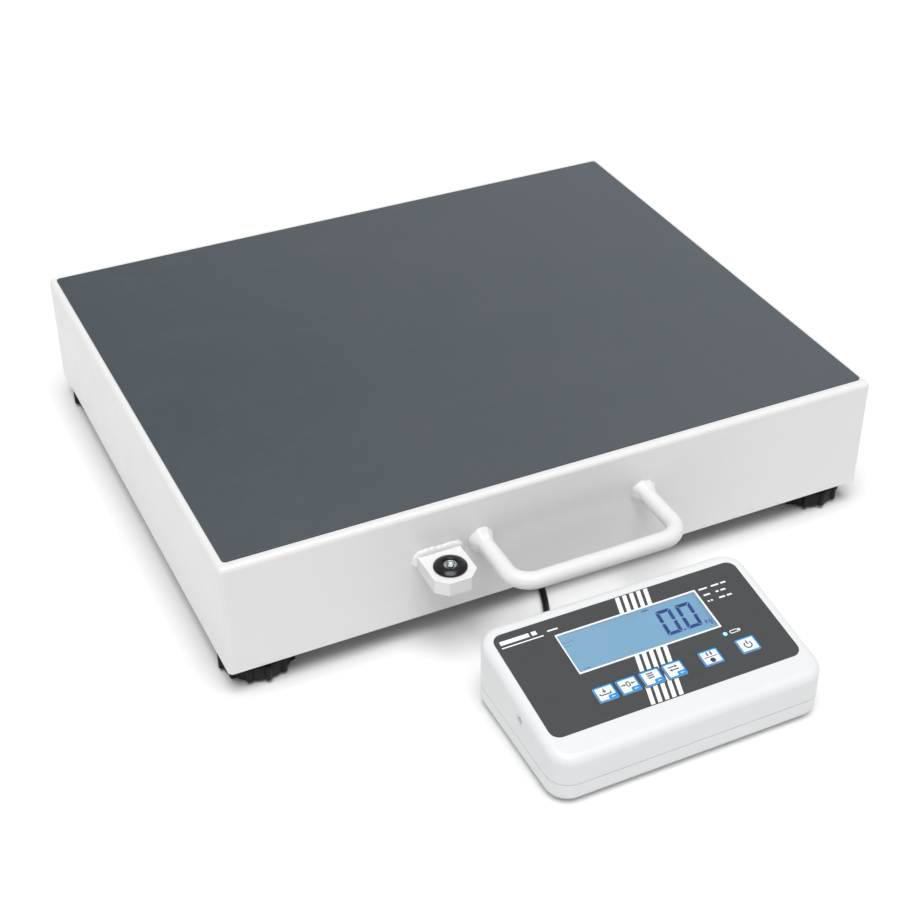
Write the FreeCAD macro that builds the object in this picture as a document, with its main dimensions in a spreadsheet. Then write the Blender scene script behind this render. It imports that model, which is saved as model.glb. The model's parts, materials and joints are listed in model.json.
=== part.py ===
"""Low floor platform scale with a remote display unit on a cable.

Frame: millimetres, +Z up, the floor at Z = 0, the front (display side) towards -Y.
The origin lies on the floor at the middle of the scale's overall length and width.
Every size comes from the sheet "dims"; the names below it are expressions of its cells.
"""
import FreeCAD, Part
import math
import os

import Sketcher
from FreeCAD import Placement, Rotation, Vector

doc = FreeCAD.newDocument("platform_scale")
dims = doc.addObject("Spreadsheet::Sheet", "dims")

DIMENSIONS = {
    # platform box
    "platform_wide": 500, "platform_deep": 410, "skirt_high": 88.4, "floor_gap": 18.5,
    "sheet_thick": 2.5, "outer_edge_radius": 3.5, "front_reach": 183,
    "mat_thick": 1.1, "mat_margin_side": 4.7, "mat_margin_end": 6.5,
    "mat_corner_radius": 3, "mat_edge_radius": 0.4,
    # channels under the deck
    "channel_wide": 46, "channel_high": 21.4, "channel_thick": 3, "channel_end_gap": 3,
    # load cells
    "foot_inset": 27.5, "cell_wide": 25, "cell_high": 25, "cell_nose": 14, "cell_long": 110,
    "cell_hole_radius": 7, "cell_hole_near": 27, "cell_hole_far": 43,
    "spacer_thick": 3, "spacer_long": 40, "screw_near": 66, "screw_far": 86,
    "screw_radius": 3, "screw_hole_radius": 3.3, "screw_head_radius": 5,
    "screw_head_high": 6, "screw_tip_over": 1.5,
    # levelling feet
    "foot_pad_radius": 14, "foot_pad_high": 5, "pivot_radius": 5, "pivot_high": 3,
    "running_gap": 0.05, "face_gap": 0.2, "knob_under": 2, "knob_high": 12.5,
    "knob_core_radius": 24.6, "lobe_radius": 2.4, "lobe_pitch_radius": 24.6, "lobe_count": 12,
    "hub_radius": 9, "hub_high": 5, "stud_radius": 4.95, "stud_from": 9, "stud_top": 77.5,
    "stud_chamfer": 1, "cell_thread_radius": 5,
    # carry handle
    "rod_radius": 6, "handle_span": 126.5, "handle_reach": 54.5, "handle_bend": 16,
    "handle_level": 70, "handle_centre": -3.25, "weld_radius": 9.4, "weld_long": 5.5,
    # spirit level on its bracket
    "bracket_centre": -99, "bracket_wide": 31, "bracket_deep": 36, "bracket_thick": 10.5,
    "bracket_top": 72, "bracket_chamfer": 7.5, "bracket_weld": 3.5,
    "level_back": 20, "level_radius": 11.5, "level_rim_high": 3.4, "level_lip_high": 1,
    "level_neck_radius": 8, "level_depth": 9, "level_bore_radius": 5.5, "level_floor": 1.2,
    "vial_high": 5.6, "vial_wall": 0.7, "bubble_radius": 1.7, "bubble_high": 0.8,
    # junction box and its gland
    "box_wide": 100, "box_deep": 68, "box_high": 33, "box_wall": 2.5, "lid_thick": 3,
    "board_thick": 1.6, "board_margin": 3, "lid_screw_inset": 6, "lid_screw_radius": 1.5,
    "lid_screw_head_radius": 2.8, "lid_screw_head_high": 1.6, "lid_screw_long": 10,
    "gland_radius": 7, "gland_long": 16, "gland_thread_radius": 5, "gland_up": 14,
    "gland_shift": -2, "nut_long": 6, "nut_radius": 8.5,
    # cables
    "cable_radius": 2.5, "lead_radius": 1.8, "lead_up": 12.5, "clip_wide": 7,
    "clip_thick": 1,
    "coil_inner": 18, "coil_outer": 38, "coil_high": 10, "coil_low": 0.8,
    "coil_x": -37.5, "coil_y": -52, "tie_thick": 0.8, "tie_wide": 9,
    # display unit
    "case_wide": 198.5, "case_deep": 117, "case_centre": -5.75, "case_low": 1.5,
    "case_back_high": 54.5, "case_slope": 8.5, "case_wall": 2.5, "case_floor": 3.5,
    "case_corner_radius": 16, "case_top_radius": 6.5, "case_bottom_radius": 7,
    "seam_up": 16, "seam_step": 0.4, "seam_high": 0.8,
    "overlay_wide": 183, "overlay_deep": 88.5, "overlay_radius": 7, "overlay_thick": 0.8,
    "overlay_proud": 0.2, "overlay_shift": -0.75, "overlay_back": 10.8,
    "lcd_wide": 106, "lcd_deep": 35, "lcd_u": 1, "lcd_v": 12.8,
    "window_lip": 2.5, "module_margin": 4, "module_high": 6.5,
    "key_wide": 14, "key_deep": 12, "key_row": -24.4, "key_gap": 0.3, "key_proud": 0.3,
    "key_flange": 1.2, "key_flange_thick": 0.8, "key_flange_top": 2.7,
    "dome_top": 4, "dome_radius": 3, "dome_base": 1.2, "dome_margin": 5,
    "board_wide": 156, "board_deep": 72, "board_depth": 11.5,
    "led_u": 52.6, "led_v": -11, "led_radius": 1.5, "led_collar_radius": 2.4,
    "socket_y": -246, "socket_z": 33, "socket_radius": 4,
    "socket_deep": 12, "socket_high": 10,
    "holder_wide": 61.5, "holder_deep": 54, "holder_high": 15.4, "holder_wall": 1.2,
    "holder_centre": 46, "cell_battery_radius": 7, "cell_battery_long": 50,
    "cell_battery_pitch": 14.7,
    "door_wide": 60, "door_deep": 58, "door_thick": 2, "door_gap": 0.3, "door_ledge": 4,
    "case_foot_radius": 4, "case_foot_x": 84, "case_foot_y": 46.4,
    "case_screw_x": 84, "case_screw_y": 38, "boss_radius": 4, "boss_bore": 1.55,
    "case_screw_radius": 1.5, "case_screw_head": 2.8, "case_screw_long": 14,
    "cable_gland_radius": 6, "cable_gland_tip": 3.6, "cable_gland_long": 17,
    "cable_gland_flange": 2.5, "cable_exit_x": -31, "cable_exit_z": 11,
}

KEYS = {
    "key_tare": -44.0, "key_zero": -27.4, "key_function": -10.4,
    "key_mode": 6.3, "key_hold": 33.5, "key_power": 61.6,
}

for row, (alias, size) in enumerate(DIMENSIONS.items(), start=1):
    dims.set(f"A{row}", alias)
    dims.set(f"B{row}", str(size))
    dims.setAlias(f"B{row}", alias)
for row, (name, across) in enumerate(KEYS.items(), start=1):
    dims.set(f"D{row}", name)
    dims.set(f"E{row}", str(across))
    dims.setAlias(f"E{row}", name + "_across")
doc.recompute()


# ---------------------------------------------------------------- expressions

FRONT = "(dims.front_reach - (dims.platform_deep + dims.front_reach) / 2)"
BACK = f"({FRONT} + dims.platform_deep)"
PLATFORM_MIDDLE = f"({FRONT} + dims.platform_deep / 2)"
RIM_TOP = "(dims.floor_gap + dims.skirt_high)"
DECK_UNDER = f"({RIM_TOP} - dims.sheet_thick)"
WEB_UNDER = f"({DECK_UNDER} - dims.channel_high)"
CELL_TOP = f"({WEB_UNDER} - dims.spacer_thick)"
CELL_UNDER = f"({CELL_TOP} - dims.cell_high)"
FOOT_X = "(dims.platform_wide / 2 - dims.foot_inset)"
BOX_UNDER = f"({WEB_UNDER} - dims.box_high)"
BOX_FRONT = f"({PLATFORM_MIDDLE} - dims.box_deep / 2)"
CASE_FRONT = f"({FRONT} - dims.front_reach)"
CASE_BACK = f"({CASE_FRONT} + dims.case_deep)"
CASE_MIDDLE = f"({CASE_FRONT} + dims.case_deep / 2)"
SEAM = "(dims.case_low + dims.seam_up)"
STEEP = "dims.case_slope * 1deg"
OVERLAY_RUN = f"(dims.overlay_back + dims.overlay_deep / 2 * cos({STEEP}))"


def number(expression):
    """The value of an expression of sheet cells, in millimetres or degrees."""
    return float(dims.evalExpression(expression.replace("dims.", "")))


# ---------------------------------------------------------------- small tools

def bind(thing, **expressions):
    for prop, expression in expressions.items():
        thing.setExpression(prop, expression)
    return thing


def put(thing, x="0", y="0", z="0"):
    for axis, expression in (("x", x), ("y", y), ("z", z)):
        if expression != "0":
            thing.setExpression(f"Placement.Base.{axis}", expression)
    return thing


def box(name, x, y, z, long, wide, high):
    made = bind(doc.addObject("Part::Box", name), Length=long, Width=wide, Height=high)
    return put(made, x, y, z)


def centred_box(name, x, y, z, long, wide, high):
    """A box whose X and Y are given at its middle and Z at its underside."""
    return box(name, f"{x} - ({long}) / 2", f"{y} - ({wide}) / 2", z, long, wide, high)


TURNS = {
    "Z": Rotation(),
    "-Z": Rotation(Vector(1, 0, 0), 180),
    "X": Rotation(Vector(0, 1, 0), 90),
    "-X": Rotation(Vector(0, 1, 0), -90),
    "Y": Rotation(Vector(1, 0, 0), -90),
    "-Y": Rotation(Vector(1, 0, 0), 90),
}


def cylinder(name, x, y, z, radius, high, along="Z"):
    made = bind(doc.addObject("Part::Cylinder", name), Radius=radius, Height=high)
    made.Placement = Placement(Vector(), TURNS[along])
    return put(made, x, y, z)


def cone(name, x, y, z, low_radius, top_radius, high, along="Z"):
    made = doc.addObject("Part::Cone", name)
    bind(made, Radius1=low_radius, Radius2=top_radius, Height=high)
    made.Placement = Placement(Vector(), TURNS[along])
    return put(made, x, y, z)


def fuse(name, *things):
    made = doc.addObject("Part::MultiFuse", name)
    made.Shapes = list(things)
    made.Refine = False
    return made


def cut(name, base, *tools):
    made = doc.addObject("Part::Cut", name)
    made.Base = base
    made.Tool = tools[0] if len(tools) == 1 else fuse(name + "_tools", *tools)
    made.Refine = False
    return made


def common(name, first, second):
    made = doc.addObject("Part::Common", name)
    made.Base = first
    made.Tool = second
    made.Refine = False
    return made


def edges_of(shape, wanted):
    """Numbers of the edges that the test function wants, counted from one."""
    return [count for count, edge in enumerate(shape.Edges, start=1) if wanted(edge)]


def upright(edge):
    ends = [vertex.Point for vertex in edge.Vertexes]
    if len(ends) != 2:
        return False
    flat = math.hypot(ends[0].x - ends[1].x, ends[0].y - ends[1].y)
    return flat < 0.01 and abs(ends[0].z - ends[1].z) > 0.5


def level_at(height):
    def wanted(edge):
        bounds = edge.BoundBox
        return abs(bounds.ZMin - height) < 0.01 and abs(bounds.ZMax - height) < 0.01
    return wanted


def rounded(name, base, radius, wanted):
    """Part fillet of one radius on the edges of base that are wanted."""
    doc.recompute()
    made = doc.addObject("Part::Fillet", name)
    made.Base = base
    size = number(radius)
    made.Edges = [(count, size, size) for count in edges_of(base.Shape, wanted)]
    return made


# ---------------------------------------------------------------- sketches and bodies

def new_body(name):
    return doc.addObject("PartDesign::Body", name)


def new_sketch(body, plane, raised="0"):
    sketch = body.newObject("Sketcher::SketchObject", body.Name + "_sketch")
    origin_plane = next(o for o in body.Origin.OriginFeatures if o.Role == plane)
    sketch.AttachmentSupport = [(origin_plane, "")]
    sketch.MapMode = "FlatFace"
    if raised != "0":
        sketch.setExpression("AttachmentOffset.Base.z", raised)
    return sketch


def locate(sketch, item, point, x, y):
    """Hold a point of the sketch at two expressions measured from the sketch's origin."""
    for kind, axis, expression in (("DistanceX", -2, x), ("DistanceY", -1, y)):
        size = number(expression)
        if abs(size) < 1e-9:
            sketch.addConstraint(Sketcher.Constraint("PointOnObject", item, point, axis))
            continue
        made = sketch.addConstraint(Sketcher.Constraint(kind, -1, 1, item, point, size))
        sketch.setExpression(f"Constraints[{made}]", expression)


def outline(sketch, corners):
    """A closed run of straight lines through corners given as pairs of expressions."""
    points = [Vector(number(x), number(y), 0) for x, y in corners]
    first = sketch.GeometryCount
    count = len(points)
    for step in range(count):
        sketch.addGeometry(Part.LineSegment(points[step], points[(step + 1) % count]), False)
    for step in range(count):
        after = first + (step + 1) % count
        sketch.addConstraint(Sketcher.Constraint("Coincident", first + step, 2, after, 1))
    for step, (x, y) in enumerate(corners):
        locate(sketch, first + step, 1, x, y)


def rectangle(sketch, wide, deep, x="0", y="0"):
    left, right = f"{x} - ({wide}) / 2", f"{x} + ({wide}) / 2"
    low, high = f"{y} - ({deep}) / 2", f"{y} + ({deep}) / 2"
    outline(sketch, [(left, low), (right, low), (right, high), (left, high)])


def circle(sketch, radius, x="0", y="0"):
    middle = Vector(number(x), number(y), 0)
    item = sketch.addGeometry(Part.Circle(middle, Vector(0, 0, 1), number(radius)), False)
    made = sketch.addConstraint(Sketcher.Constraint("Radius", item, number(radius)))
    sketch.setExpression(f"Constraints[{made}]", radius)
    if abs(middle.x) < 1e-9 and abs(middle.y) < 1e-9:
        sketch.addConstraint(Sketcher.Constraint("Coincident", item, 3, -1, 1))
    else:
        locate(sketch, item, 3, x, y)


def pad(body, sketch, length, midplane=False):
    made = body.newObject("PartDesign::Pad", body.Name + "_pad")
    made.Profile = sketch
    made.Midplane = midplane
    made.setExpression("Length", length)
    return made


def pocket(body, sketch, length, upwards=False):
    made = body.newObject("PartDesign::Pocket", body.Name + "_pocket")
    made.Profile = sketch
    made.Reversed = upwards
    made.setExpression("Length", length)
    return made


def turned(body, corners, hollow=False):
    """Revolve (or groove) an outline of radius and height pairs about the body's Z axis."""
    sketch = new_sketch(body, "XZ_Plane")
    outline(sketch, corners)
    kind = "PartDesign::Groove" if hollow else "PartDesign::Revolution"
    made = body.newObject(kind, body.Name + "_turned")
    made.Profile = sketch
    made.ReferenceAxis = (sketch, ["V_Axis"])
    made.Angle = 360
    return made


def body_fillet(body, feature, radius, wanted):
    doc.recompute()
    made = body.newObject("PartDesign::Fillet", body.Name + "_fillet")
    made.Base = (feature, [f"Edge{count}" for count in edges_of(feature.Shape, wanted)])
    made.setExpression("Radius", radius)
    return made


# ---------------------------------------------------------------- cable routes

def arc_radii(route):
    """Largest tangent arcs that the runs beside each inner point of a route allow."""
    radii = []
    for before, corner, after in zip(route, route[1:], route[2:]):
        inward, outward = corner - before, after - corner
        turn = inward.getAngle(outward)
        radii.append(0.45 * min(inward.Length, outward.Length) / math.tan(turn / 2))
    return radii


def route_wire(route):
    """Straight runs joined by tangent arcs through the points of a route."""
    edges = []
    start = route[0]
    for corner, after, before, radius in zip(route[1:], route[2:], route, arc_radii(route)):
        inward = (corner - before).normalize()
        outward = (after - corner).normalize()
        turn = inward.getAngle(outward)
        reach = radius * math.tan(turn / 2)
        enter, leave = corner - inward * reach, corner + outward * reach
        inside = (outward - inward).normalize()
        centre = corner + inside * (radius / math.cos(turn / 2))
        edges.append(Part.LineSegment(start, enter).toShape())
        edges.append(Part.Arc(enter, centre - inside * radius, leave).toShape())
        start = leave
    edges.append(Part.LineSegment(start, route[-1]).toShape())
    return Part.Wire(edges)


def swept_tube(name, route, radius):
    """A round cable of a given radius along a route, as a sweep of a circle."""
    spine = doc.addObject("Part::Feature", name + "_spine")
    spine.Shape = route_wire(route)
    profile = bind(doc.addObject("Part::Circle", name + "_profile"), Radius=radius)
    facing = Rotation(Vector(0, 0, 1), route[1] - route[0])
    profile.Placement = Placement(route[0], facing)
    made = doc.addObject("Part::Sweep", name)
    made.Sections = [profile]
    made.Spine = (spine, [f"Edge{count + 1}" for count in range(len(spine.Shape.Edges))])
    made.Solid = True
    made.Frenet = False
    doc.recompute()
    section = math.pi * number(radius) ** 2
    swept = made.Shape.Volume / (section * spine.Shape.Length)
    tightest = min(arc_radii(route))
    print(f"{name}: {spine.Shape.Length:.1f} mm long, volume {swept:.4f} of section x length,"
          f" tightest radius {tightest:.1f} mm")
    print("   radii", [round(radius_here, 1) for radius_here in arc_radii(route)])
    return made


# ---------------------------------------------------------------- platform

parts = {}


def keep(name, thing):
    """Record a finished sub-part under the name that its file takes."""
    thing.Label = name
    parts[name] = thing
    return thing


def make_deck_shell():
    """Folded and welded steel tray: the top plate with a skirt on four sides."""
    body = new_body("deck_shell")
    put(body, y=PLATFORM_MIDDLE)
    sketch = new_sketch(body, "XY_Plane", "dims.floor_gap")
    rectangle(sketch, "dims.platform_wide", "dims.platform_deep")
    block = pad(body, sketch, "dims.skirt_high")
    top_edge = level_at(number(RIM_TOP))
    body_fillet(body, block, "dims.outer_edge_radius", lambda e: upright(e) or top_edge(e))
    inside = new_sketch(body, "XY_Plane", "dims.floor_gap")
    rectangle(inside, "dims.platform_wide - 2 * dims.sheet_thick",
              "dims.platform_deep - 2 * dims.sheet_thick")
    pocket(body, inside, "dims.skirt_high - dims.sheet_thick", upwards=True)
    keep("deck_shell", body)


def make_deck_mat():
    """Smooth rubber standing mat glued on the top plate inside a painted rim."""
    body = new_body("deck_mat")
    put(body, y=PLATFORM_MIDDLE)
    sketch = new_sketch(body, "XY_Plane", RIM_TOP)
    rectangle(sketch, "dims.platform_wide - 2 * dims.mat_margin_side",
              "dims.platform_deep - 2 * dims.mat_margin_end")
    sheet = pad(body, sketch, "dims.mat_thick")
    rounded_corners = body_fillet(body, sheet, "dims.mat_corner_radius", upright)
    top = level_at(number(f"{RIM_TOP} + dims.mat_thick"))
    body_fillet(body, rounded_corners, "dims.mat_edge_radius", top)
    keep("deck_mat", body)


def screw_places(side, end):
    """X and Y expressions of the two fixing screws of one load cell."""
    x = f"{side} * {FOOT_X}"
    foot_y = foot_place(side, end)[1]
    inward = 1 if end == "front" else -1
    return [(x, f"({foot_y} + {inward} * dims.{reach})") for reach in ("screw_near", "screw_far")]


def foot_place(side, end):
    inward = "+" if end == "front" else "-"
    edge = FRONT if end == "front" else BACK
    return f"({side} * {FOOT_X})", f"({edge} {inward} dims.foot_inset)"


CORNERS = {"fl": (-1, "front"), "fr": (1, "front"), "bl": (-1, "back"), "br": (1, "back")}


def make_channel(name, x, sides):
    """U channel, open upwards and welded under the deck, tapped where load cells hang."""
    long = "(dims.platform_deep - 2 * dims.sheet_thick - 2 * dims.channel_end_gap)"
    outer = centred_box(name + "_outer", x, PLATFORM_MIDDLE, WEB_UNDER,
                        "dims.channel_wide", long, "dims.channel_high")
    trough = centred_box(name + "_trough", x, PLATFORM_MIDDLE,
                         f"{WEB_UNDER} + dims.channel_thick",
                         "dims.channel_wide - 2 * dims.channel_thick", f"{long} + 2",
                         "dims.channel_high")
    holes = []
    for side in sides:
        for end in ("front", "back"):
            for spot, (hole_x, hole_y) in enumerate(screw_places(side, end)):
                holes.append(cylinder(f"{name}_{end}_hole_{spot}", hole_x, hole_y,
                                      f"{WEB_UNDER} - 1", "dims.screw_radius",
                                      "dims.channel_thick + 2"))
    keep(name, cut(name, outer, trough, *holes))


def make_load_cell(corner, side, end):
    """Bending-beam load cell: fixed at its inner end, the foot screwed in its free end."""
    name = f"load_cell_{corner}"
    x, foot_y = foot_place(side, end)
    inward = 1 if end == "front" else -1
    middle = f"({foot_y} + {inward} * (dims.cell_long / 2 - dims.cell_nose))"
    beam = centred_box(name + "_beam", x, middle, CELL_UNDER,
                       "dims.cell_wide", "dims.cell_long", "dims.cell_high")
    tools = [cylinder(name + "_thread", x, foot_y, f"{CELL_UNDER} - 1",
                      "dims.cell_thread_radius", "dims.cell_high + 2")]
    for reach in ("cell_hole_near", "cell_hole_far"):
        tools.append(cylinder(f"{name}_{reach}", f"{x} - dims.cell_wide",
                              f"{foot_y} + {inward} * dims.{reach}",
                              f"{CELL_UNDER} + dims.cell_high / 2",
                              "dims.cell_hole_radius", "2 * dims.cell_wide", "X"))
    for spot, (hole_x, hole_y) in enumerate(screw_places(side, end)):
        tools.append(cylinder(f"{name}_hole_{spot}", hole_x, hole_y, f"{CELL_UNDER} - 1",
                              "dims.screw_hole_radius", "dims.cell_high + 2"))
    keep(name, cut(name, beam, *tools))


def make_spacers_and_screws():
    """Spacer plates that set each load cell off its channel, and the fixing screws."""
    spacers, screws = [], []
    shank = ("(dims.cell_high + dims.spacer_thick + dims.channel_thick"
             " + dims.screw_tip_over)")
    for corner, (side, end) in CORNERS.items():
        places = screw_places(side, end)
        foot_y = foot_place(side, end)[1]
        inward = 1 if end == "front" else -1
        middle = f"({foot_y} + {inward} * (dims.screw_near + dims.screw_far) / 2)"
        plate = centred_box(f"spacer_{corner}", places[0][0], middle, CELL_TOP,
                            "dims.cell_wide", "dims.spacer_long", "dims.spacer_thick")
        holes = [cylinder(f"spacer_{corner}_hole_{spot}", x, y, f"{CELL_TOP} - 1",
                          "dims.screw_hole_radius", "dims.spacer_thick + 2")
                 for spot, (x, y) in enumerate(places)]
        spacers.append(cut(f"spacer_{corner}_plate", plate, *holes))
        for spot, (x, y) in enumerate(places):
            name = f"cell_screw_{corner}_{spot}"
            head = cylinder(name + "_head", x, y, f"{CELL_UNDER} - dims.screw_head_high",
                            "dims.screw_head_radius", "dims.screw_head_high")
            stem = cylinder(name + "_stem", x, y, CELL_UNDER, "dims.screw_radius", shank)
            socket = cylinder(name + "_socket", x, y,
                              f"{CELL_UNDER} - dims.screw_head_high - 1",
                              "dims.screw_radius * 0.85", "dims.screw_head_high * 0.7 + 1")
            screws.append(cut(name, fuse(name + "_blank", head, stem), socket))
    keep("load_cell_spacers", fuse("load_cell_spacers", *spacers))
    keep("load_cell_screws", fuse("load_cell_screws", *screws))


def make_foot(corner, side, end):
    """Levelling foot: lobed hand knob moulded on a stud, turning on a still rubber pad."""
    x, y = foot_place(side, end)
    pad_top = "dims.foot_pad_high"
    pivot_top = f"({pad_top} + dims.pivot_high)"
    knob_top = "(dims.knob_under + dims.knob_high)"
    hub_top = f"({knob_top} + dims.hub_high)"

    pad_body = new_body(f"foot_pad_{corner}")
    put(pad_body, x, y)
    turned(pad_body, [("0", "0"), ("dims.foot_pad_radius", "0"),
                      ("dims.foot_pad_radius", pad_top), ("dims.pivot_radius", pad_top),
                      ("dims.pivot_radius", pivot_top), ("0", pivot_top)])
    keep(f"foot_pad_{corner}", pad_body)

    knob = new_body(f"foot_knob_{corner}")
    put(knob, x, y)
    core = new_sketch(knob, "XY_Plane", "dims.knob_under")
    circle(core, "dims.knob_core_radius")
    pad(knob, core, "dims.knob_high")
    hub = new_sketch(knob, "XY_Plane", knob_top)
    circle(hub, "dims.hub_radius")
    pad(knob, hub, "dims.hub_high")
    lobe_sketch = new_sketch(knob, "XY_Plane", "dims.knob_under")
    circle(lobe_sketch, "dims.lobe_radius", "dims.lobe_pitch_radius", "0")
    lobe = pad(knob, lobe_sketch, "dims.knob_high")
    doc.recompute()
    lobes = knob.newObject("PartDesign::PolarPattern", knob.Name + "_lobes")
    lobes.Originals = [lobe]
    lobes.Axis = (next(o for o in knob.Origin.OriginFeatures if o.Role == "Z_Axis"), [""])
    lobes.Angle = 360
    bind(lobes, Occurrences="dims.lobe_count")
    knob.Tip = lobes
    recess = "(dims.foot_pad_radius + 1)"
    bore = "(dims.pivot_radius + dims.running_gap)"
    ceiling = f"({pad_top} + dims.face_gap)"
    bore_end = f"({pivot_top} + dims.face_gap)"
    turned(knob, [("0", "dims.knob_under - 1"), (recess, "dims.knob_under - 1"),
                  (recess, ceiling), (bore, ceiling), (bore, bore_end), ("0", bore_end)],
           hollow=True)
    turned(knob, [("0", "dims.stud_from"), ("dims.stud_radius", "dims.stud_from"),
                  ("dims.stud_radius", f"{hub_top} + 1"), ("0", f"{hub_top} + 1")],
           hollow=True)
    keep(f"foot_knob_{corner}", knob)

    stud = new_body(f"foot_stud_{corner}")
    put(stud, x, y)
    turned(stud, [("0", "dims.stud_from"), ("dims.stud_radius", "dims.stud_from"),
                  ("dims.stud_radius", "dims.stud_top - dims.stud_chamfer"),
                  ("dims.stud_radius - dims.stud_chamfer", "dims.stud_top"),
                  ("0", "dims.stud_top")])
    keep(f"foot_stud_{corner}", stud)


def make_handle():
    """Bent round bar welded by its two ends to the front skirt."""
    body = new_body("carry_handle")
    put(body, "dims.handle_centre", FRONT, "dims.handle_level")
    half, reach = number("dims.handle_span / 2"), number("dims.handle_reach")
    bend = number("dims.handle_bend")
    upwards = Vector(0, 0, 1)
    path = new_sketch(body, "XY_Plane")
    path.addGeometry(Part.LineSegment(Vector(-half, 0, 0), Vector(-half, bend - reach, 0)), False)
    left_bend = Part.Circle(Vector(bend - half, bend - reach, 0), upwards, bend)
    path.addGeometry(Part.ArcOfCircle(left_bend, math.pi, 1.5 * math.pi), False)
    path.addGeometry(Part.LineSegment(Vector(bend - half, -reach, 0),
                                      Vector(half - bend, -reach, 0)), False)
    right_bend = Part.Circle(Vector(half - bend, bend - reach, 0), upwards, bend)
    path.addGeometry(Part.ArcOfCircle(right_bend, 1.5 * math.pi, 2 * math.pi), False)
    path.addGeometry(Part.LineSegment(Vector(half, bend - reach, 0), Vector(half, 0, 0)), False)
    for item in range(4):
        path.addConstraint(Sketcher.Constraint("Tangent", item, 2, item + 1, 1))
    path.addConstraint(Sketcher.Constraint("Vertical", 0))
    path.addConstraint(Sketcher.Constraint("Horizontal", 2))
    for item in (1, 3):
        made = path.addConstraint(Sketcher.Constraint("Radius", item, bend))
        path.setExpression(f"Constraints[{made}]", "dims.handle_bend")
    locate(path, 0, 1, "-dims.handle_span / 2", "0")
    locate(path, 4, 2, "dims.handle_span / 2", "0")
    made = path.addConstraint(Sketcher.Constraint("DistanceY", -1, 1, 2, 1, -reach))
    path.setExpression(f"Constraints[{made}]", "-dims.handle_reach")
    section = new_sketch(body, "XZ_Plane")
    circle(section, "dims.rod_radius", "-dims.handle_span / 2", "0")
    doc.recompute()
    bar = body.newObject("PartDesign::AdditivePipe", "carry_handle_bar")
    bar.Profile = section
    bar.Spine = (path, [f"Edge{item}" for item in range(1, 6)])
    keep("carry_handle", body)


def make_bracket_and_welds():
    """Chamfered plate for the spirit level, and the weld beads on the front skirt."""
    x, top = "dims.bracket_centre", "dims.bracket_top"
    half, deep = "(dims.bracket_wide / 2)", "dims.bracket_deep"
    cutback = "dims.bracket_chamfer"
    body = new_body("level_bracket")
    put(body, x, FRONT)
    sketch = new_sketch(body, "XY_Plane", f"{top} - dims.bracket_thick")
    outline(sketch, [(f"-{half}", "0"), (f"-{half}", f"-({deep} - {cutback})"),
                     (f"-({half} - {cutback})", f"-{deep}"),
                     (f"({half} - {cutback})", f"-{deep}"),
                     (half, f"-({deep} - {cutback})"), (half, "0")])
    pad(body, sketch, "dims.bracket_thick")
    seat = new_sketch(body, "XY_Plane", f"{top} - dims.bracket_thick")
    circle(seat, "dims.level_neck_radius", "0", "-dims.level_back")
    pocket(body, seat, "dims.bracket_thick", upwards=True)
    keep("level_bracket", body)

    beads = []
    for side in (-1, 1):
        leg_x = f"(dims.handle_centre + {side} * dims.handle_span / 2)"
        collar = cone(f"weld_collar_{side + 1}", leg_x, FRONT, "dims.handle_level",
                      "dims.weld_radius", "dims.rod_radius + 0.6", "dims.weld_long", "-Y")
        leg = cylinder(f"weld_leg_{side + 1}", leg_x, f"{FRONT} + 1", "dims.handle_level",
                       "dims.rod_radius", "dims.weld_long + 2", "-Y")
        beads.append(cut(f"weld_ring_{side + 1}", collar, leg))
    strip = new_body("weld_strip")
    put(strip, x, FRONT, top)
    profile = new_sketch(strip, "YZ_Plane")
    outline(profile, [("0", "0"), ("0", "dims.bracket_weld"), ("-dims.bracket_weld", "0")])
    pad(strip, profile, "dims.bracket_wide", midplane=True)
    beads.append(strip)
    keep("weld_beads", fuse("weld_beads", *beads))


def make_spirit_level():
    """Round bull's-eye level: black housing, clear vial and the bubble in it."""
    x, y = "dims.bracket_centre", f"({FRONT} - dims.level_back)"
    top = "dims.bracket_top"
    rim_top = "dims.level_rim_high"
    housing = new_body("level_housing")
    put(housing, x, y, top)
    floor = "(dims.level_floor - dims.level_depth)"
    turned(housing, [("0", "-dims.level_depth"), ("dims.level_neck_radius", "-dims.level_depth"),
                     ("dims.level_neck_radius", "0"), ("dims.level_radius", "0"),
                     ("dims.level_radius", "dims.level_lip_high"),
                     ("dims.level_bore_radius + 1.5", rim_top),
                     ("dims.level_bore_radius", f"{rim_top} - 0.6"),
                     ("dims.level_bore_radius", floor), ("0", floor)])
    keep("level_housing", housing)

    vial = new_body("level_vial")
    put(vial, x, y, top)
    wall = "dims.vial_wall"
    inner = f"(dims.level_bore_radius - {wall})"
    high = f"({floor} + dims.vial_high + 3)"
    turned(vial, [("0", floor), ("dims.level_bore_radius", floor),
                  ("dims.level_bore_radius", high), ("0", high)])
    turned(vial, [("0", f"{floor} + {wall}"), (inner, f"{floor} + {wall}"),
                  (inner, f"{high} - 2 * {wall}"), ("0", f"{high} - 1.4 * {wall}")], hollow=True)
    keep("level_vial", vial)

    bubble = new_body("level_bubble")
    put(bubble, x, y, top)
    under = f"({high} - 2 * {wall})"
    turned(bubble, [("0", f"{under} - dims.bubble_high - 0.1"),
                    ("dims.bubble_radius * 0.7", f"{under} - dims.bubble_high - 0.1"),
                    ("dims.bubble_radius", f"{under} - dims.bubble_high / 2 - 0.1"),
                    ("dims.bubble_radius * 0.7", f"{under} - 0.1"), ("0", f"{under} - 0.1")])
    keep("level_bubble", bubble)


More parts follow.
